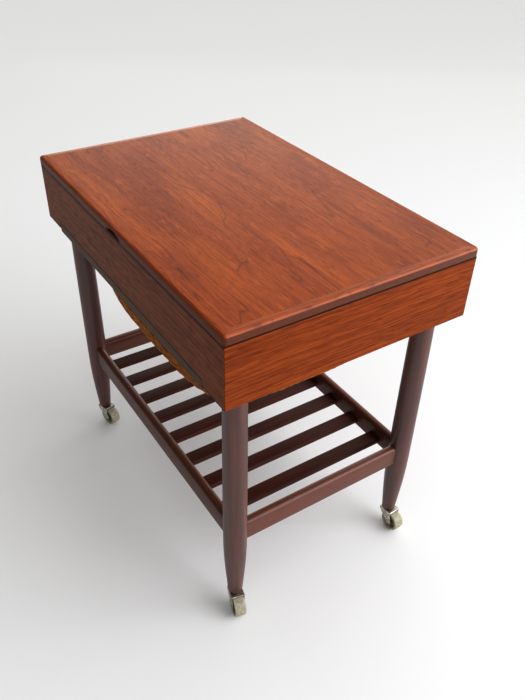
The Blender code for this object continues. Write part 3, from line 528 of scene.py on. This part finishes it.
# Painted shade on the lid's side faces below the rounded arris; it also darkens the inside of the finger pull.
PAINTED_SIDE_SHADE = (LID_TOP - 0.5 * MM, LID_TOP - 3.5 * MM)
lip_long = wood("teak_solid_oiled_long", "X", "#9a4a1e", LIP_LAYERS, 2.2, None, 0.44, 0.12,
                side=(*PAINTED_SIDE_SHADE, "#633620", 0.9))
lip_short = wood("teak_solid_oiled_short", "Y", "#9b4b1c", LIP_LAYERS, 5.2, None, 0.27, 0.3,
                 side=(LID_TOP - 2.5 * MM, LID_TOP - 4.5 * MM, "#542a15", 0.92))
hinge_low, hinge_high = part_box("hinge_pin")
HINGE_Y, HINGE_Z = (hinge_low.y + hinge_high.y) / 2, (hinge_low.z + hinge_high.z) / 2
HINGE_HALF = hinge_high.x
BARREL, LEAF, LEAF_REACH = 2.0 * MM, 0.8 * MM, 7.5 * MM


def block(low, high):
    """A box between two corners."""
    return prism([(low[0], low[1]), (high[0], low[1]), (high[0], high[1]), (low[0], high[1])], low[2], high[2])


scoop = bmesh.new()
bmesh.ops.create_uvsphere(scoop, u_segments=64, v_segments=32, radius=1.0)
PULL = (24 * MM, 7.0 * MM, 8.5 * MM)  # half width, depth into the strip, height
bmesh.ops.transform(scoop, verts=scoop.verts,
                    matrix=Matrix.Translation((0.0, -LID_HALF_Y, LID_BOTTOM)) @ Matrix.Diagonal((*PULL, 1.0)))
ROOM = 0.5 * MM
FAR, BELOW_LID = 1.0, LID_BOTTOM - 1 * MM  # past every edge of the lid, and below it
RELIEF_TOP, RECESS_TOP = LID_BOTTOM + 1.4 * MM, LID_BOTTOM + 3 * MM
strips = {name: lipping(turns) for turns, name in enumerate(("front", "right", "back", "left"))}
strips["front"] = cut(strips["front"], scoop)
for name in ("right", "back", "left"):
    strips[name] = cut(strips[name], block((-FAR, HINGE_Y + ROOM / 2, BELOW_LID), (FAR, FAR, RELIEF_TOP)))
half = HINGE_HALF + ROOM
for low, high in (((-half, HINGE_Y - BARREL - 2 * ROOM, BELOW_LID), (half, FAR, RECESS_TOP)),
                  ((-half, HINGE_Y - LEAF_REACH - ROOM, BELOW_LID),
                   (half, HINGE_Y - BARREL - ROOM, LID_BOTTOM + LEAF + 0.3 * MM))):
    strips["back"] = cut(strips["back"], block(low, high))
for name, shape in strips.items():
    piece(f"lid_lipping_{name}", shape, "lid", lip_long if name in ("front", "back") else lip_short,
          [f"lipping_{name}"])

# %% [markdown]
# ## Turned legs
#
# Each leg is turned from solid, darker teak: it swells a little from the top to its belly
# and then tapers in one long curve to the foot. A lathe profile with many rows and 64 sides keeps
# both the silhouette and the highlight smooth.

# %% Legs
DARK_LAYERS = [
    (150, 9, 0.44, 0.68, "#6b3426", 0.55),
    (70, 3.2, 0.50, 0.72, "#351613", 0.5),
    (16, 1.1, 0.60, 0.74, "#24100e", 0.5),
]
dark_upright = wood("teak_turned_dark", "Z", "#4a241c", DARK_LAYERS, 1.7, None, 0.38, 0.85)
dark_cross = wood("teak_solid_dark_crosswise", "Y", "#633728", DARK_LAYERS, 6.1, None, 0.36, 0.5)
dark_length = wood("teak_solid_dark_lengthwise", "X", "#57301f", DARK_LAYERS, 8.3, None, 0.38, 0.3)
SLAT_LAYERS = [
    (150, 9, 0.44, 0.68, "#52261c", 0.55),
    (70, 3.2, 0.50, 0.72, "#24100c", 0.5),
    (16, 1.1, 0.60, 0.74, "#170a08", 0.5),
]
dark_slats = wood("teak_solid_dark_slats", "Y", "#401c13", SLAT_LAYERS, 2.6, None, 0.42, 0.16)
FRAME_LAYERS = [
    (150, 9, 0.44, 0.68, "#5a4332", 0.5),
    (60, 3.0, 0.50, 0.72, "#2f2119", 0.5),
    (16, 1.1, 0.60, 0.74, "#241813", 0.5),
]
frame_length = wood("teak_basket_frame_lengthwise", "X", "#5c4837", FRAME_LAYERS, 3.9, None, 0.5, 0.12)
frame_cross = wood("teak_basket_frame_crosswise", "Y", "#5c4837", FRAME_LAYERS, 1.3, None, 0.5, 0.12)

LEG_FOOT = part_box("leg_front_right")[0].z
LEG_TOP_R, BELLY_R, FOOT_R, BELLY_Z = 17.0 * MM, 18.4 * MM, 11.5 * MM, 173 * MM
FOOT_ROUNDING, LEG_SIDES, LEG_ROWS = 1.5 * MM, 64, 40
STEM_HOLE_R, TENON_R = 4.3 * MM, 9 * MM


def leg_radius(height):
    """How thick the leg is at a height."""
    if height >= BELLY_Z:
        return BELLY_R - (BELLY_R - LEG_TOP_R) * ((height - BELLY_Z) / (CASE_BOTTOM - BELLY_Z)) ** 2
    return FOOT_R + (BELLY_R - FOOT_R) * math.sin(math.pi / 2 * (height - LEG_FOOT) / (BELLY_Z - LEG_FOOT))


leg_place = {}
for name in CORNERS:
    low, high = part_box(f"leg_{name}")
    leg_place[name] = ((low.x + high.x) / 2, (low.y + high.y) / 2, 0.0)
    profile = [(0.0, LEG_FOOT), (STEM_HOLE_R, LEG_FOOT)]
    profile += [(leg_radius(LEG_FOOT + FOOT_ROUNDING) - FOOT_ROUNDING + r, LEG_FOOT + z)
                for r, z in arc((0.0, FOOT_ROUNDING), FOOT_ROUNDING, -90, 0, 5)]
    start, end = LEG_FOOT + FOOT_ROUNDING, CASE_BOTTOM - JOINT_GAP
    heights = [start + (end - start) * i / LEG_ROWS for i in range(1, LEG_ROWS + 1)]
    profile += [(leg_radius(height), height) for height in heights]
    profile += [(TENON_R, end), (TENON_R, high.z), (0.0, high.z)]
    piece(f"turned_leg_{name}", lathe(profile, LEG_SIDES, centre=leg_place[name]), "case",
          dark_upright, [f"leg_{name}"], 40)

# %% [markdown]
# ## Slatted shelf
#
# Four rails with rounded tops run between the legs, hollowed at their ends to fit the round.
# Eight slats with softened arrises cross between the long rails. The slats are
# one shape set out at an even pitch, which is what Geometry Nodes do best.

# %% Rails
def rounded_section(half_width, bottom, top, upper, lower, steps):
    """A board's cross-section, centred on 0, with rounded arrises."""
    corners = [((half_width - upper, top - upper), upper, 0), ((upper - half_width, top - upper), upper, 90),
               ((lower - half_width, bottom + lower), lower, 180), ((half_width - lower, bottom + lower), lower, 270)]
    return [point for centre, radius, start in corners for point in arc(centre, radius, start, start + 90, steps)]


rail_low, rail_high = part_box("shelf_front_rail")
rail_width = rail_high.y - rail_low.y
section = rounded_section(rail_width / 2, rail_low.z, rail_high.z, 7 * MM, 1.5 * MM, 8)
LEG_X, LEG_Y = leg_place["back_right"][:2]
COPE_R, COPE_LOW, COPE_HIGH = BELLY_R + 0.1 * MM, 0.1, 0.3  # a leg's round, with a hair's room
for name, axis, middle, reach in (("front", "X", -LEG_Y, LEG_X), ("back", "X", LEG_Y, LEG_X),
                                  ("left", "Y", -LEG_X, LEG_Y), ("right", "Y", LEG_X, LEG_Y)):
    rail = prism([(a + middle, b) for a, b in section], -reach + BELLY_R / 2, reach - BELLY_R / 2, axis)
    for corner in CORNERS:
        if name in corner:
            cope = lathe([(0, COPE_LOW), (COPE_R, COPE_LOW), (COPE_R, COPE_HIGH), (0, COPE_HIGH)], 96,
                         centre=leg_place[corner])
            rail = cut(rail, cope)
    piece(f"shelf_rail_{name}", rail, "case", dark_length if axis == "X" else dark_cross,
          [f"shelf_{name}_rail"])

# %% Slats
slat_low, slat_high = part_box("slat_1")
SLAT_COUNT = sum(name.startswith("slat_") for name in nodes)
slat_x = (slat_low.x + slat_high.x) / 2
slat_sizes = {"Count": SLAT_COUNT, "First": slat_x, "Pitch": -2 * slat_x / (SLAT_COUNT - 1)}
slat_row = row_tree("row_of_slats", slat_sizes, "X", dark_slats)
slat = prism(rounded_section((slat_high.x - slat_low.x) / 2, slat_low.z, slat_high.z, 2.5 * MM, 1.25 * MM, 6),
             slat_low.y, slat_high.y, "Y")
piece("shelf_slats", grow(slat_row, slat_sizes, slat), "case", dark_slats,
      [f"slat_{i + 1}" for i in range(SLAT_COUNT)])

# %% [markdown]
# ## Inside the case
#
# The floor, the dividers, the runners and the blocks that take the legs are birch plywood and
# beech, pale and plain, with faint long fibres.

# %% Pale wood
BIRCH_LAYERS = [
    (90, 10, 0.45, 0.70, "#b88c58", 0.5),
    (25, 1.6, 0.50, 0.74, "#a67a49", 0.4),
]
birch = wood("birch_plywood_sanded", "X", "#cda873", BIRCH_LAYERS, 3.3, None, 0.5, 0.3, 0.08)
dress(birch, "case_floor", "long_divider", "cross_divider_1", "cross_divider_2", "cross_divider_3",
      "basket_runner_left", "basket_runner_right", *[f"corner_block_{name}" for name in CORNERS])

# %% [markdown]
# ## The woven basket
#
# The basket hangs in a teak frame. It is woven from split rattan: upright stakes first, then pairs
# of strands that pass in front of and behind each stake and twist past each other between
# them. The bowl's outline is a superellipse, so the strands follow one formula. The tree makes flat
# rings, one for each row, and then moves each point to its place on the bowl, a little in or
# out and up or down as the twist asks.

# %% Basket frame
dress(frame_length, "basket_front_rail", "basket_back_rail")
dress(frame_cross, "basket_left_rail", "basket_right_rail")

# %% Rattan
rattan, rattan_tree, rattan_shader = finish("rattan_split_varnished", "#9a6124", Roughness=0.6,
                                            **{"IOR": 1.5, "Specular IOR Level": 0.15})
strand = add(rattan_tree, "ShaderNodeAttribute", attribute_name="strand")
spread = add(rattan_tree, "ShaderNodeValToRGB", {"Fac": strand.outputs["Fac"]},
             [(0.0, "#80430f"), (0.45, "#a3601a"), (0.8, "#b87828"), (1.0, "#8d4c12")])
where = add(rattan_tree, "ShaderNodeTexCoord")
spots = add(rattan_tree, "ShaderNodeTexNoise", {"Vector": where.outputs["Object"], "Scale": 160.0, "Detail": 2.0})
stain = add(rattan_tree, "ShaderNodeMapRange", {"Value": spots.outputs["Fac"], "From Min": 0.5,
                                                "From Max": 0.75, "To Max": 0.55})
blend = add(rattan_tree, "ShaderNodeMix", {"Factor": stain.outputs[0], 6: spread.outputs["Color"],
                                           7: tone("#55290c")}, data_type="RGBA")
rattan_tree.links.new(blend.outputs[2], rattan_shader.inputs["Base Color"])
fibre = add(rattan_tree, "ShaderNodeTexNoise", {"Vector": where.outputs["Object"], "Scale": 700.0, "Detail": 1.0})
grit = add(rattan_tree, "ShaderNodeBump", {"Strength": 0.25, "Distance": 0.3 * MM, "Height": fibre.outputs["Fac"]})
rattan_tree.links.new(grit.outputs[0], rattan_shader.inputs["Normal"])

# %% Bowl formula as nodes
bowl_low, bowl_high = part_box("wicker_basket")
WALL_MIDDLE = 4.2 * MM  # from the bowl's outside to the middle of the weave
END_MIDDLE = 3.0 * MM   # the same at the two ends and at the bottom, where the bowl is fuller
RIM_DROP = 3.0 * MM     # from the frame to the middle of the first row
BOWL = {"Half length": bowl_high.x - END_MIDDLE, "Half width": (bowl_high.y - bowl_low.y) / 2 - WALL_MIDDLE,
        "Middle": (bowl_high.y + bowl_low.y) / 2, "Rim": bowl_high.z - RIM_DROP,
        "Depth": bowl_high.z - bowl_low.z - RIM_DROP - END_MIDDLE}
PLAN_POWER, LEFT_PLAN_POWER, PROFILE_POWER = 4.6, 3.5, 3.1  # the left corners are rounder, as hand work is
print("bowl", {key: round(value, 4) for key, value in BOWL.items()})

# Each line is a name, an operation and its values: numbers, or names of earlier lines.
# turn is the angle in plan, down the share of the depth; out and up are small moves of the strand.
BOWL_SUMS = [
    ("fall", "POWER", "down", PROFILE_POWER), ("left", "SUBTRACT", 1.0, "fall"),
    ("narrow", "POWER", "left", 1 / PROFILE_POWER),
    ("flat", "POWER", "narrow", PROFILE_POWER - 1), ("steep", "POWER", "down", PROFILE_POWER - 1),
    ("flat2", "MULTIPLY", "flat", "flat"), ("steep2", "MULTIPLY_ADD", "steep", "steep", "flat2"),
    ("size", "SQRT", "steep2"), ("c", "DIVIDE", "flat", "size"), ("d", "DIVIDE", "steep", "size"),
    ("out_c", "MULTIPLY", "out", "c"), ("aside", "MULTIPLY_ADD", "up", "d", "out_c"),
    ("up_c", "MULTIPLY", "up", "c"), ("out_d", "MULTIPLY", "out", "d"), ("lift", "SUBTRACT", "up_c", "out_d"),
    ("cos", "COSINE", "turn"), ("cos+", "ABSOLUTE", "cos"), ("cos_sign", "SIGN", "cos"),
    ("power", "MULTIPLY_ADD", "cos_sign", (PLAN_POWER - LEFT_PLAN_POWER) / 2, (PLAN_POWER + LEFT_PLAN_POWER) / 2),
    ("sin", "SINE", "turn"), ("sin+", "ABSOLUTE", "sin"), ("cos^", "POWER", "cos+", "power"),
    ("sin^", "POWER", "sin+", "power"), ("both", "ADD", "cos^", "sin^"), ("root", "DIVIDE", -1.0, "power"),
    ("reach", "POWER", "both", "root"), ("x_share", "MULTIPLY", "cos", "reach"),
    ("y_share", "MULTIPLY", "sin", "reach"),
    ("x_size", "MULTIPLY_ADD", "Half length", "narrow", "aside"), ("x", "MULTIPLY", "x_share", "x_size"),
    ("y_size", "MULTIPLY_ADD", "Half width", "narrow", "aside"), ("y", "MULTIPLY_ADD", "y_share", "y_size", "Middle"),
    ("sunk", "MULTIPLY", "down", "Depth"), ("level", "SUBTRACT", "Rim", "sunk"), ("z", "ADD", "level", "lift"),
]


def work_out(tree, known, sums):
    """Builds each sum as a node, from the values known so far, and returns them all."""
    known = dict(known)
    for label, operation, *values in sums:
        inputs = {i: known[value] if isinstance(value, str) else value for i, value in enumerate(values)}
        known[label] = add(tree, "ShaderNodeMath", inputs, operation=operation).outputs[0]
    return known


def strand_tree(name, sizes, path_kind, path_inputs, sums):
    """A tree that sets a path on every seed point, bends it round the bowl and gives it a round section."""
    tree, given = new_tree(name, sizes)
    path = add(tree, path_kind, path_inputs)
    fine = add(tree, "GeometryNodeResampleCurve", {"Curve": path.outputs[0], "Count": given["Path points"]})
    copies = add(tree, "GeometryNodeInstanceOnPoints", {"Points": given["Geometry"], "Instance": fine.outputs[0]})
    real = add(tree, "GeometryNodeRealizeInstances", {0: copies.outputs[0]})
    spot = add(tree, "GeometryNodeInputPosition")
    split = add(tree, "ShaderNodeSeparateXYZ", {0: spot.outputs[0]})
    side = add(tree, "GeometryNodeInputNamedAttribute", {"Name": "side"}, data_type="FLOAT")
    rough = add(tree, "ShaderNodeTexNoise", {"Vector": spot.outputs[0], "Scale": 5.0, "Detail": 1.0})
    known = {label: given[label] for label in sizes}
    known |= {"px": split.outputs["X"], "py": split.outputs["Y"], "pz": split.outputs["Z"],
              "side": side.outputs[0], "rough": rough.outputs["Fac"]}
    known = work_out(tree, known, sums + BOWL_SUMS)
    place = add(tree, "ShaderNodeCombineXYZ", {"X": known["x"], "Y": known["y"], "Z": known["z"]})
    moved = add(tree, "GeometryNodeSetPosition", {"Geometry": real.outputs[0], "Position": place.outputs[0]})
    section = add(tree, "GeometryNodeCurvePrimitiveCircle", {"Resolution": given["Sides"],
                                                             "Radius": given["Strand radius"]})
    tube = add(tree, "GeometryNodeCurveToMesh", {"Curve": moved.outputs[0], "Profile Curve": section.outputs[0],
                                                 "Fill Caps": True})
    close_tree(tree, tube.outputs[0], rattan)
    return tree


# %% Rows of twined strands
WEAVE = {**BOWL, "Stakes": 72, "Path points": 216, "Sides": 5, "Strand radius": 1.75 * MM,
         "Swing": 1.5 * MM, "Half pitch": 1.2 * MM, "Lumpiness": 1.6 * MM}
ROW_PITCH = 3.7 * MM
row_sums = [
    ("turn", "ARCTAN2", "py", "px"), ("down", "ADD", "pz", 0.0), ("half", "MULTIPLY", "Stakes", 0.5),
    ("phase", "MULTIPLY", "turn", "half"), ("wave", "COSINE", "phase"), ("swung", "MULTIPLY", "wave", "side"),
    ("even", "SUBTRACT", "rough", 0.5), ("bulge", "MULTIPLY", "even", "Lumpiness"),
    ("out", "MULTIPLY_ADD", "swung", "Swing", "bulge"),
    ("roll", "SINE", "phase"), ("rolled", "MULTIPLY", "roll", "side"), ("up", "MULTIPLY", "rolled", "Half pitch"),
]
FLAT_RING = ("GeometryNodeCurvePrimitiveCircle", {"Resolution": 256, "Radius": 1.0})
rows_tree = strand_tree("twined_rows", WEAVE, *FLAT_RING, row_sums)


def seeds(spots):
    """Seed points with two values each: the side a strand starts on, and its shade."""
    bm = bmesh.new()
    side_layer, shade_layer = (bm.verts.layers.float.new(name) for name in ("side", "strand"))
    for spot, side, shade in spots:
        vert = bm.verts.new(spot)
        vert[side_layer], vert[shade_layer] = side, shade
    return bm


dice = random.Random(11)


def profile_steps(pitch, limit):
    """Depth shares that are one pitch apart along the bowl's side and bottom."""
    shares, travelled, last, fine = [0.0], 0.0, (1.0, 0.0), 4000
    for i in range(1, fine):
        turn = math.pi / 2 * i / fine
        narrow, down = math.cos(turn) ** (2 / PROFILE_POWER), math.sin(turn) ** (2 / PROFILE_POWER)
        travelled += math.hypot((narrow - last[0]) * BOWL["Half width"], (down - last[1]) * BOWL["Depth"])
        last = (narrow, down)
        if travelled >= pitch * len(shares) and narrow > limit:
            shares.append(down)
    return shares


shares = profile_steps(ROW_PITCH, 0.025)
rows = [((0, 0, share), side, dice.random()) for share in shares for side in (1.0, -1.0)]
half_way = len(rows) // 4 * 2
for name, part in (("side", rows[:half_way]), ("bottom", rows[half_way:])):
    woven = grow(rows_tree, WEAVE, seeds(part))
    made = piece(f"basket_weave_{name}", woven, "basket", rattan, crease=180)
    if name == "side":
        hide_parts("wicker_basket")

# %% Stakes and border
NEARLY_ALL = 0.9999  # stops just short of the bottom's centre, where the formula has no direction
STAKE = {**BOWL, "Path points": 36, "Sides": 5, "Strand radius": 1.6 * MM}
stake_sums = [
    ("turn", "ADD", "px", 0.0), ("steep_turn", "MULTIPLY", "pz", math.pi / 2 * NEARLY_ALL),
    ("sine", "SINE", "steep_turn"), ("down", "POWER", "sine", 2 / PROFILE_POWER),
    ("out", "MULTIPLY", "side", 0.0), ("up", "MULTIPLY", "side", 0.0),
]
upright = ("GeometryNodeCurvePrimitiveLine", {"Start": (0, 0, 0), "End": (0, 0, 1)})
stakes_tree = strand_tree("stakes", STAKE, *upright, stake_sums)
stakes = [((2 * math.pi * i / WEAVE["Stakes"], 0, 0), 1.0, dice.random()) for i in range(WEAVE["Stakes"])]
piece("basket_stakes", grow(stakes_tree, STAKE, seeds(stakes)), "basket", rattan, crease=180)

BORDER = {**WEAVE, "Path points": 288, "Sides": 7, "Strand radius": 1.7 * MM, "Swing": 1.6 * MM,
          "Half pitch": 1.0 * MM, "Lumpiness": 0.8 * MM}
border = [((0, 0, 0.0), side, dice.random()) for side in (1.0, -1.0)]
piece("basket_border", grow(strand_tree("border", BORDER, *FLAT_RING, row_sums), BORDER, seeds(border)),
      "basket", rattan, crease=180)

# %% [markdown]
# ## Brass hinge
#
# A piano hinge runs along the back. Its knuckles are short tubes, turn and turn about on the
# case's leaf and the lid's, round one pin. One knuckle is modelled, and the tree sets it out at every
# second place. Small countersunk screws hold the leaves.

# %% Brass
brass, brass_tree, brass_shader = finish("brass_rolled_aged", "#b08a47", Metallic=1.0, Roughness=0.34)
_, brass_place = mottle(brass_tree, brass_shader, [(0.35, "#8a6a35"), (0.6, "#b5904c"), (0.75, "#c5a35f")],
                        55.0, 4.0)
brass_long = add(brass_tree, "ShaderNodeMapping", {"Vector": brass_place, "Scale": (30, 900, 900)})
brass_lines = add(brass_tree, "ShaderNodeTexNoise", {"Vector": brass_long.outputs[0], "Scale": 1.0, "Detail": 3.0})
brass_dull = add(brass_tree, "ShaderNodeMapRange", {"Value": brass_lines.outputs["Fac"], "To Min": 0.26,
                                                    "To Max": 0.48})
brass_tree.links.new(brass_dull.outputs[0], brass_shader.inputs["Roughness"])

# %% Hinge leaves, knuckles and pin
LID_KNUCKLES = 22  # the case's leaf has one more
KNUCKLE_PITCH = 4 * HINGE_HALF / (2 * LID_KNUCKLES + 1)
KNUCKLE_END = KNUCKLE_PITCH / 4 - 0.15 * MM
KNUCKLE_BORE, PIN_R, PLATE_EDGE = 1.2 * MM, 0.9 * MM, 1.4 * MM
SCREWS = {"Count": 12, "First": -HINGE_HALF * 11 / 12, "Pitch": HINGE_HALF * 2 / 12}
brass_row = row_tree("row_along_x", SCREWS, "X", brass)


def leaf(name, body, sign, count, replaced):
    """A hinge leaf with its own knuckles and screws; sign is -1 for the case's leaf, 1 for the lid's."""
    face = (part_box(replaced)[0].z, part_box(replaced)[0].z + LEAF) if sign > 0 else (
        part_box("back_panel")[1].z - LEAF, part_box("back_panel")[1].z)
    plate = block((-HINGE_HALF, HINGE_Y - LEAF_REACH, face[0]), (HINGE_HALF, HINGE_Y - PLATE_EDGE, face[1]))
    sizes = {"Count": count, "First": -(count - 1) * KNUCKLE_PITCH / 2, "Pitch": KNUCKLE_PITCH}
    knuckle = lathe([(KNUCKLE_BORE, -KNUCKLE_END), (BARREL, -KNUCKLE_END), (BARREL, KNUCKLE_END),
                     (KNUCKLE_BORE, KNUCKLE_END)], 24, "X", (0.0, HINGE_Y, HINGE_Z))
    plate.from_mesh(grow(brass_row, sizes, knuckle))
    outer, inner = face if sign > 0 else face[::-1]
    tip = outer - sign * 0.05 * MM
    head = [(0.0, tip + sign * 0.3 * MM), (0.9 * MM, tip), (1.7 * MM, tip + sign * 0.05 * MM), (1.6 * MM, inner)]
    screw = lathe(head + [(0.0, inner)], 20, centre=(0.0, HINGE_Y - LEAF_REACH / 2 - 0.8 * MM, 0.0))
    plate.from_mesh(grow(brass_row, SCREWS, screw))
    piece(name, plate, body, brass, [replaced])


leaf("hinge_leaf_case", "case", -1, LID_KNUCKLES + 1, "hinge_case_leaf")
leaf("hinge_leaf_lid", "lid", 1, LID_KNUCKLES, "hinge_lid_leaf")
pin = lathe([(0, -HINGE_HALF), (PIN_R, -HINGE_HALF), (PIN_R, HINGE_HALF), (0, HINGE_HALF)], 20, "X",
            (0.0, HINGE_Y, HINGE_Z))
piece("hinge_rod", pin, "case", brass, ["hinge_pin"])

# %% [markdown]
# ## Casters
#
# Each caster is a pressed steel housing, nickel plated and dulled by years of use, with a
# ribbed lip over a broad nylon wheel that has yellowed and scuffed. The housing turns about a pin in the
# leg. All four are built once, pointing along X, and then turned to the direction that the joint's
# axle gives.

# %% Nickel and nylon
nickel, nickel_tree, nickel_shader = finish("nickel_plated_steel_worn", "#a9a598", Metallic=1.0, Roughness=0.34)
wear, _ = mottle(nickel_tree, nickel_shader, [(0.34, "#817d70"), (0.5, "#b7b3a8"), (0.68, "#dddbd4")],
                 130.0, 5.0, 0.65)
wear_dull = add(nickel_tree, "ShaderNodeMapRange", {"Value": wear, "From Min": 0.3, "From Max": 0.7,
                                                    "To Min": 0.42, "To Max": 0.2})
nickel_tree.links.new(wear_dull.outputs[0], nickel_shader.inputs["Roughness"])
pits = add(nickel_tree, "ShaderNodeBump", {"Strength": 0.15, "Distance": 0.2 * MM, "Height": wear})
nickel_tree.links.new(pits.outputs[0], nickel_shader.inputs["Normal"])

nylon, nylon_tree, nylon_shader = finish("nylon_moulded_yellowed", "#c3bb9f", Roughness=0.5,
                                         **{"IOR": 1.53, "Subsurface Weight": 0.05})
scuff, _ = mottle(nylon_tree, nylon_shader,
                  [(0.30, "#6f6b59"), (0.45, "#949079"), (0.62, "#aca892"), (0.8, "#bfbba6")], 210.0, 5.0, 0.7)
scuff_bump = add(nylon_tree, "ShaderNodeBump", {"Strength": 0.3, "Distance": 0.3 * MM, "Height": scuff})
nylon_tree.links.new(scuff_bump.outputs[0], nylon_shader.inputs["Normal"])
hub_plastic, hub_tree, hub_shader = finish("nylon_hub_grimed", "#6e6852", Roughness=0.6)
mottle(hub_tree, hub_shader, [(0.35, "#3f3b2d"), (0.6, "#6f6953"), (0.75, "#8b8368")], 260.0, 4.0)

# %% Housing, wheel and rivet, built at the swivel axis and pointing along X
WHEEL_R, WHEEL_HALF, TRAIL = 19 * MM, 9.3 * MM, 15 * MM
HUB_REACH, AXLE_R = 14.4 * MM, 2.4 * MM  # the grimed hub's faces lie within this of its centre
CHEEK_IN, CHEEK_OUT, PLATE_TOP, PLATE = 9.9 * MM, 11.3 * MM, 42.2 * MM, 1.8 * MM
BACK, FRONT, SHOULDER, CHEEK_END = -9.5 * MM, 17 * MM, 7 * MM, 5.5 * MM


def merge(*shapes):
    """Several bmeshes as one."""
    whole = bmesh.new()
    for shape in shapes:
        mesh = bpy.data.meshes.new("part")
        shape.to_mesh(mesh)
        shape.free()
        whole.from_mesh(mesh)
        bpy.data.meshes.remove(mesh)
    return whole


def housing():
    """Two tapered cheeks, the top plate, a rolled ribbed lip and a ring round the rivet."""
    outline = [(BACK + 1.5 * MM, PLATE_TOP), (BACK + 0.4 * MM, PLATE_TOP - 0.5 * MM), (BACK, PLATE_TOP - 1.8 * MM),
               (BACK, PLATE_TOP - SHOULDER)]
    outline += arc((TRAIL, WHEEL_R), CHEEK_END, 205, 375, 24)
    outline += [(FRONT, PLATE_TOP - SHOULDER), (FRONT, PLATE_TOP)]
    shapes = []
    for side in (-1, 1):
        low, high = sorted((side * CHEEK_IN, side * CHEEK_OUT))
        cheek = prism(outline, low, high, "Y")
        edges = [e for e in cheek.edges if abs(e.verts[0].co.y - e.verts[1].co.y) < 1e-6
                 and abs(e.verts[0].co.y - side * CHEEK_OUT) < 1e-6]
        bmesh.ops.bevel(cheek, geom=edges, offset=0.5 * MM, segments=3, profile=0.5, affect="EDGES")
        shapes.append(cheek)
        ring = [(2.9 * MM, side * CHEEK_OUT), (3.0 * MM, side * (CHEEK_OUT + 0.45 * MM)),
                (4.6 * MM, side * (CHEEK_OUT + 0.45 * MM)), (4.9 * MM, side * CHEEK_OUT)]
        shapes.append(lathe(ring, 32, "Y", (TRAIL, 0.0, WHEEL_R)))
    plate = prism([(BACK + 0.6 * MM, PLATE_TOP - PLATE), (BACK + 0.6 * MM, PLATE_TOP - 0.4 * MM),
                   (FRONT - 1 * MM, PLATE_TOP - 0.4 * MM), (FRONT - 1 * MM, PLATE_TOP - PLATE)],
                  -CHEEK_IN - 0.2 * MM, CHEEK_IN + 0.2 * MM, "Y")
    lip = prism(arc((FRONT - 0.9 * MM, PLATE_TOP - 1.0 * MM), 1.25 * MM, 0, 330, 16), -CHEEK_OUT, CHEEK_OUT, "Y")
    return shapes + [plate, lip]


LIP_RIBS = {"Count": 9, "First": -8.6 * MM, "Pitch": 2.15 * MM}
rib_row = row_tree("ribs_on_the_lip", LIP_RIBS, "Y", nickel)


def wheel_profile():
    """Half section of the wheel: bore, boss, recess, crowned tread with rounded edges."""
    boss, floor = WHEEL_HALF - 0.4 * MM, WHEEL_HALF - 3.2 * MM
    side = [(2.9 * MM, boss), (5.2 * MM, boss), (5.8 * MM, boss - 0.5 * MM), (6.2 * MM, floor),
            (13.2 * MM, floor), (14.2 * MM, WHEEL_HALF - 0.6 * MM), (14.6 * MM, WHEEL_HALF - 0.1 * MM)]
    side += [(r, z) for r, z in reversed(arc((WHEEL_R - 1.9 * MM, WHEEL_HALF - 1.5 * MM), 1.5 * MM, 5, 90, 6))]
    side += [(WHEEL_R - 0.15 * MM, WHEEL_HALF * 0.55), (WHEEL_R, WHEEL_HALF * 0.25)]
    return side + [(r, -z) for r, z in reversed(side)]


def rivet():
    """The axle between the cheeks, with a domed head on each."""
    centre = (TRAIL, 0.0, WHEEL_R)
    shapes = []
    for side in (-1, 1):
        dome = [(0.0, side * (CHEEK_OUT + 1.35 * MM))]
        dome += [(r, side * (CHEEK_OUT + 0.3 * MM + z))
                 for r, z in reversed(arc((0.0, -1.0 * MM), 2.05 * MM, 30, 75, 5))]
        dome += [(AXLE_R, side * CHEEK_OUT * 0.9), (0.0, side * CHEEK_OUT * 0.9)]
        shapes.append(lathe(dome, 24, "Y", centre))
    axle = [(0, -CHEEK_OUT), (AXLE_R, -CHEEK_OUT), (AXLE_R, CHEEK_OUT), (0, CHEEK_OUT)]
    return shapes + [lathe(axle, 24, "Y", centre)]


axle_of = {joint["name"]: joint for joint in frame["joints"]}
for name in CORNERS:
    axis = axle_of[f"wheel_roll_{name}"]["axis"]
    heading = math.degrees(math.atan2(-axis[0], axis[1]))
    place = Matrix.Translation(leg_place[name]) @ Matrix.Rotation(math.radians(heading), 4, "Z")
    rib = lathe([(0.0, -0.4 * MM), (1.0 * MM, -0.4 * MM), (1.55 * MM, -0.25 * MM), (1.55 * MM, 0.25 * MM),
                 (1.0 * MM, 0.4 * MM), (0.0, 0.4 * MM)], 16, "Y", (FRONT - 1.05 * MM, 0.0, PLATE_TOP - 1.35 * MM))
    shell = merge(*housing())
    shell.from_mesh(grow(rib_row, LIP_RIBS, rib))
    bmesh.ops.transform(shell, matrix=place, verts=shell.verts)
    piece(f"caster_shell_{name}", shell, f"swivel_{name}", nickel, [f"caster_housing_{name}"])

    wheel = lathe(wheel_profile(), 72, "Y", (TRAIL, 0.0, WHEEL_R))
    bmesh.ops.transform(wheel, matrix=place, verts=wheel.verts)
    roller = piece(f"caster_roller_{name}", wheel, f"wheel_{name}", nylon, [f"caster_wheel_{name}"])
    roller.data.materials.append(hub_plastic)
    centre = place @ Vector((TRAIL, 0.0, WHEEL_R))
    for face in roller.data.polygons:
        if (face.center - centre).length < HUB_REACH:
            face.material_index = 1

    rivets = merge(*rivet())
    bmesh.ops.transform(rivets, matrix=place, verts=rivets.verts)
    piece(f"caster_rivet_{name}", rivets, f"swivel_{name}", nickel, [f"caster_axle_{name}"])
    dress(nickel, f"caster_stem_{name}")
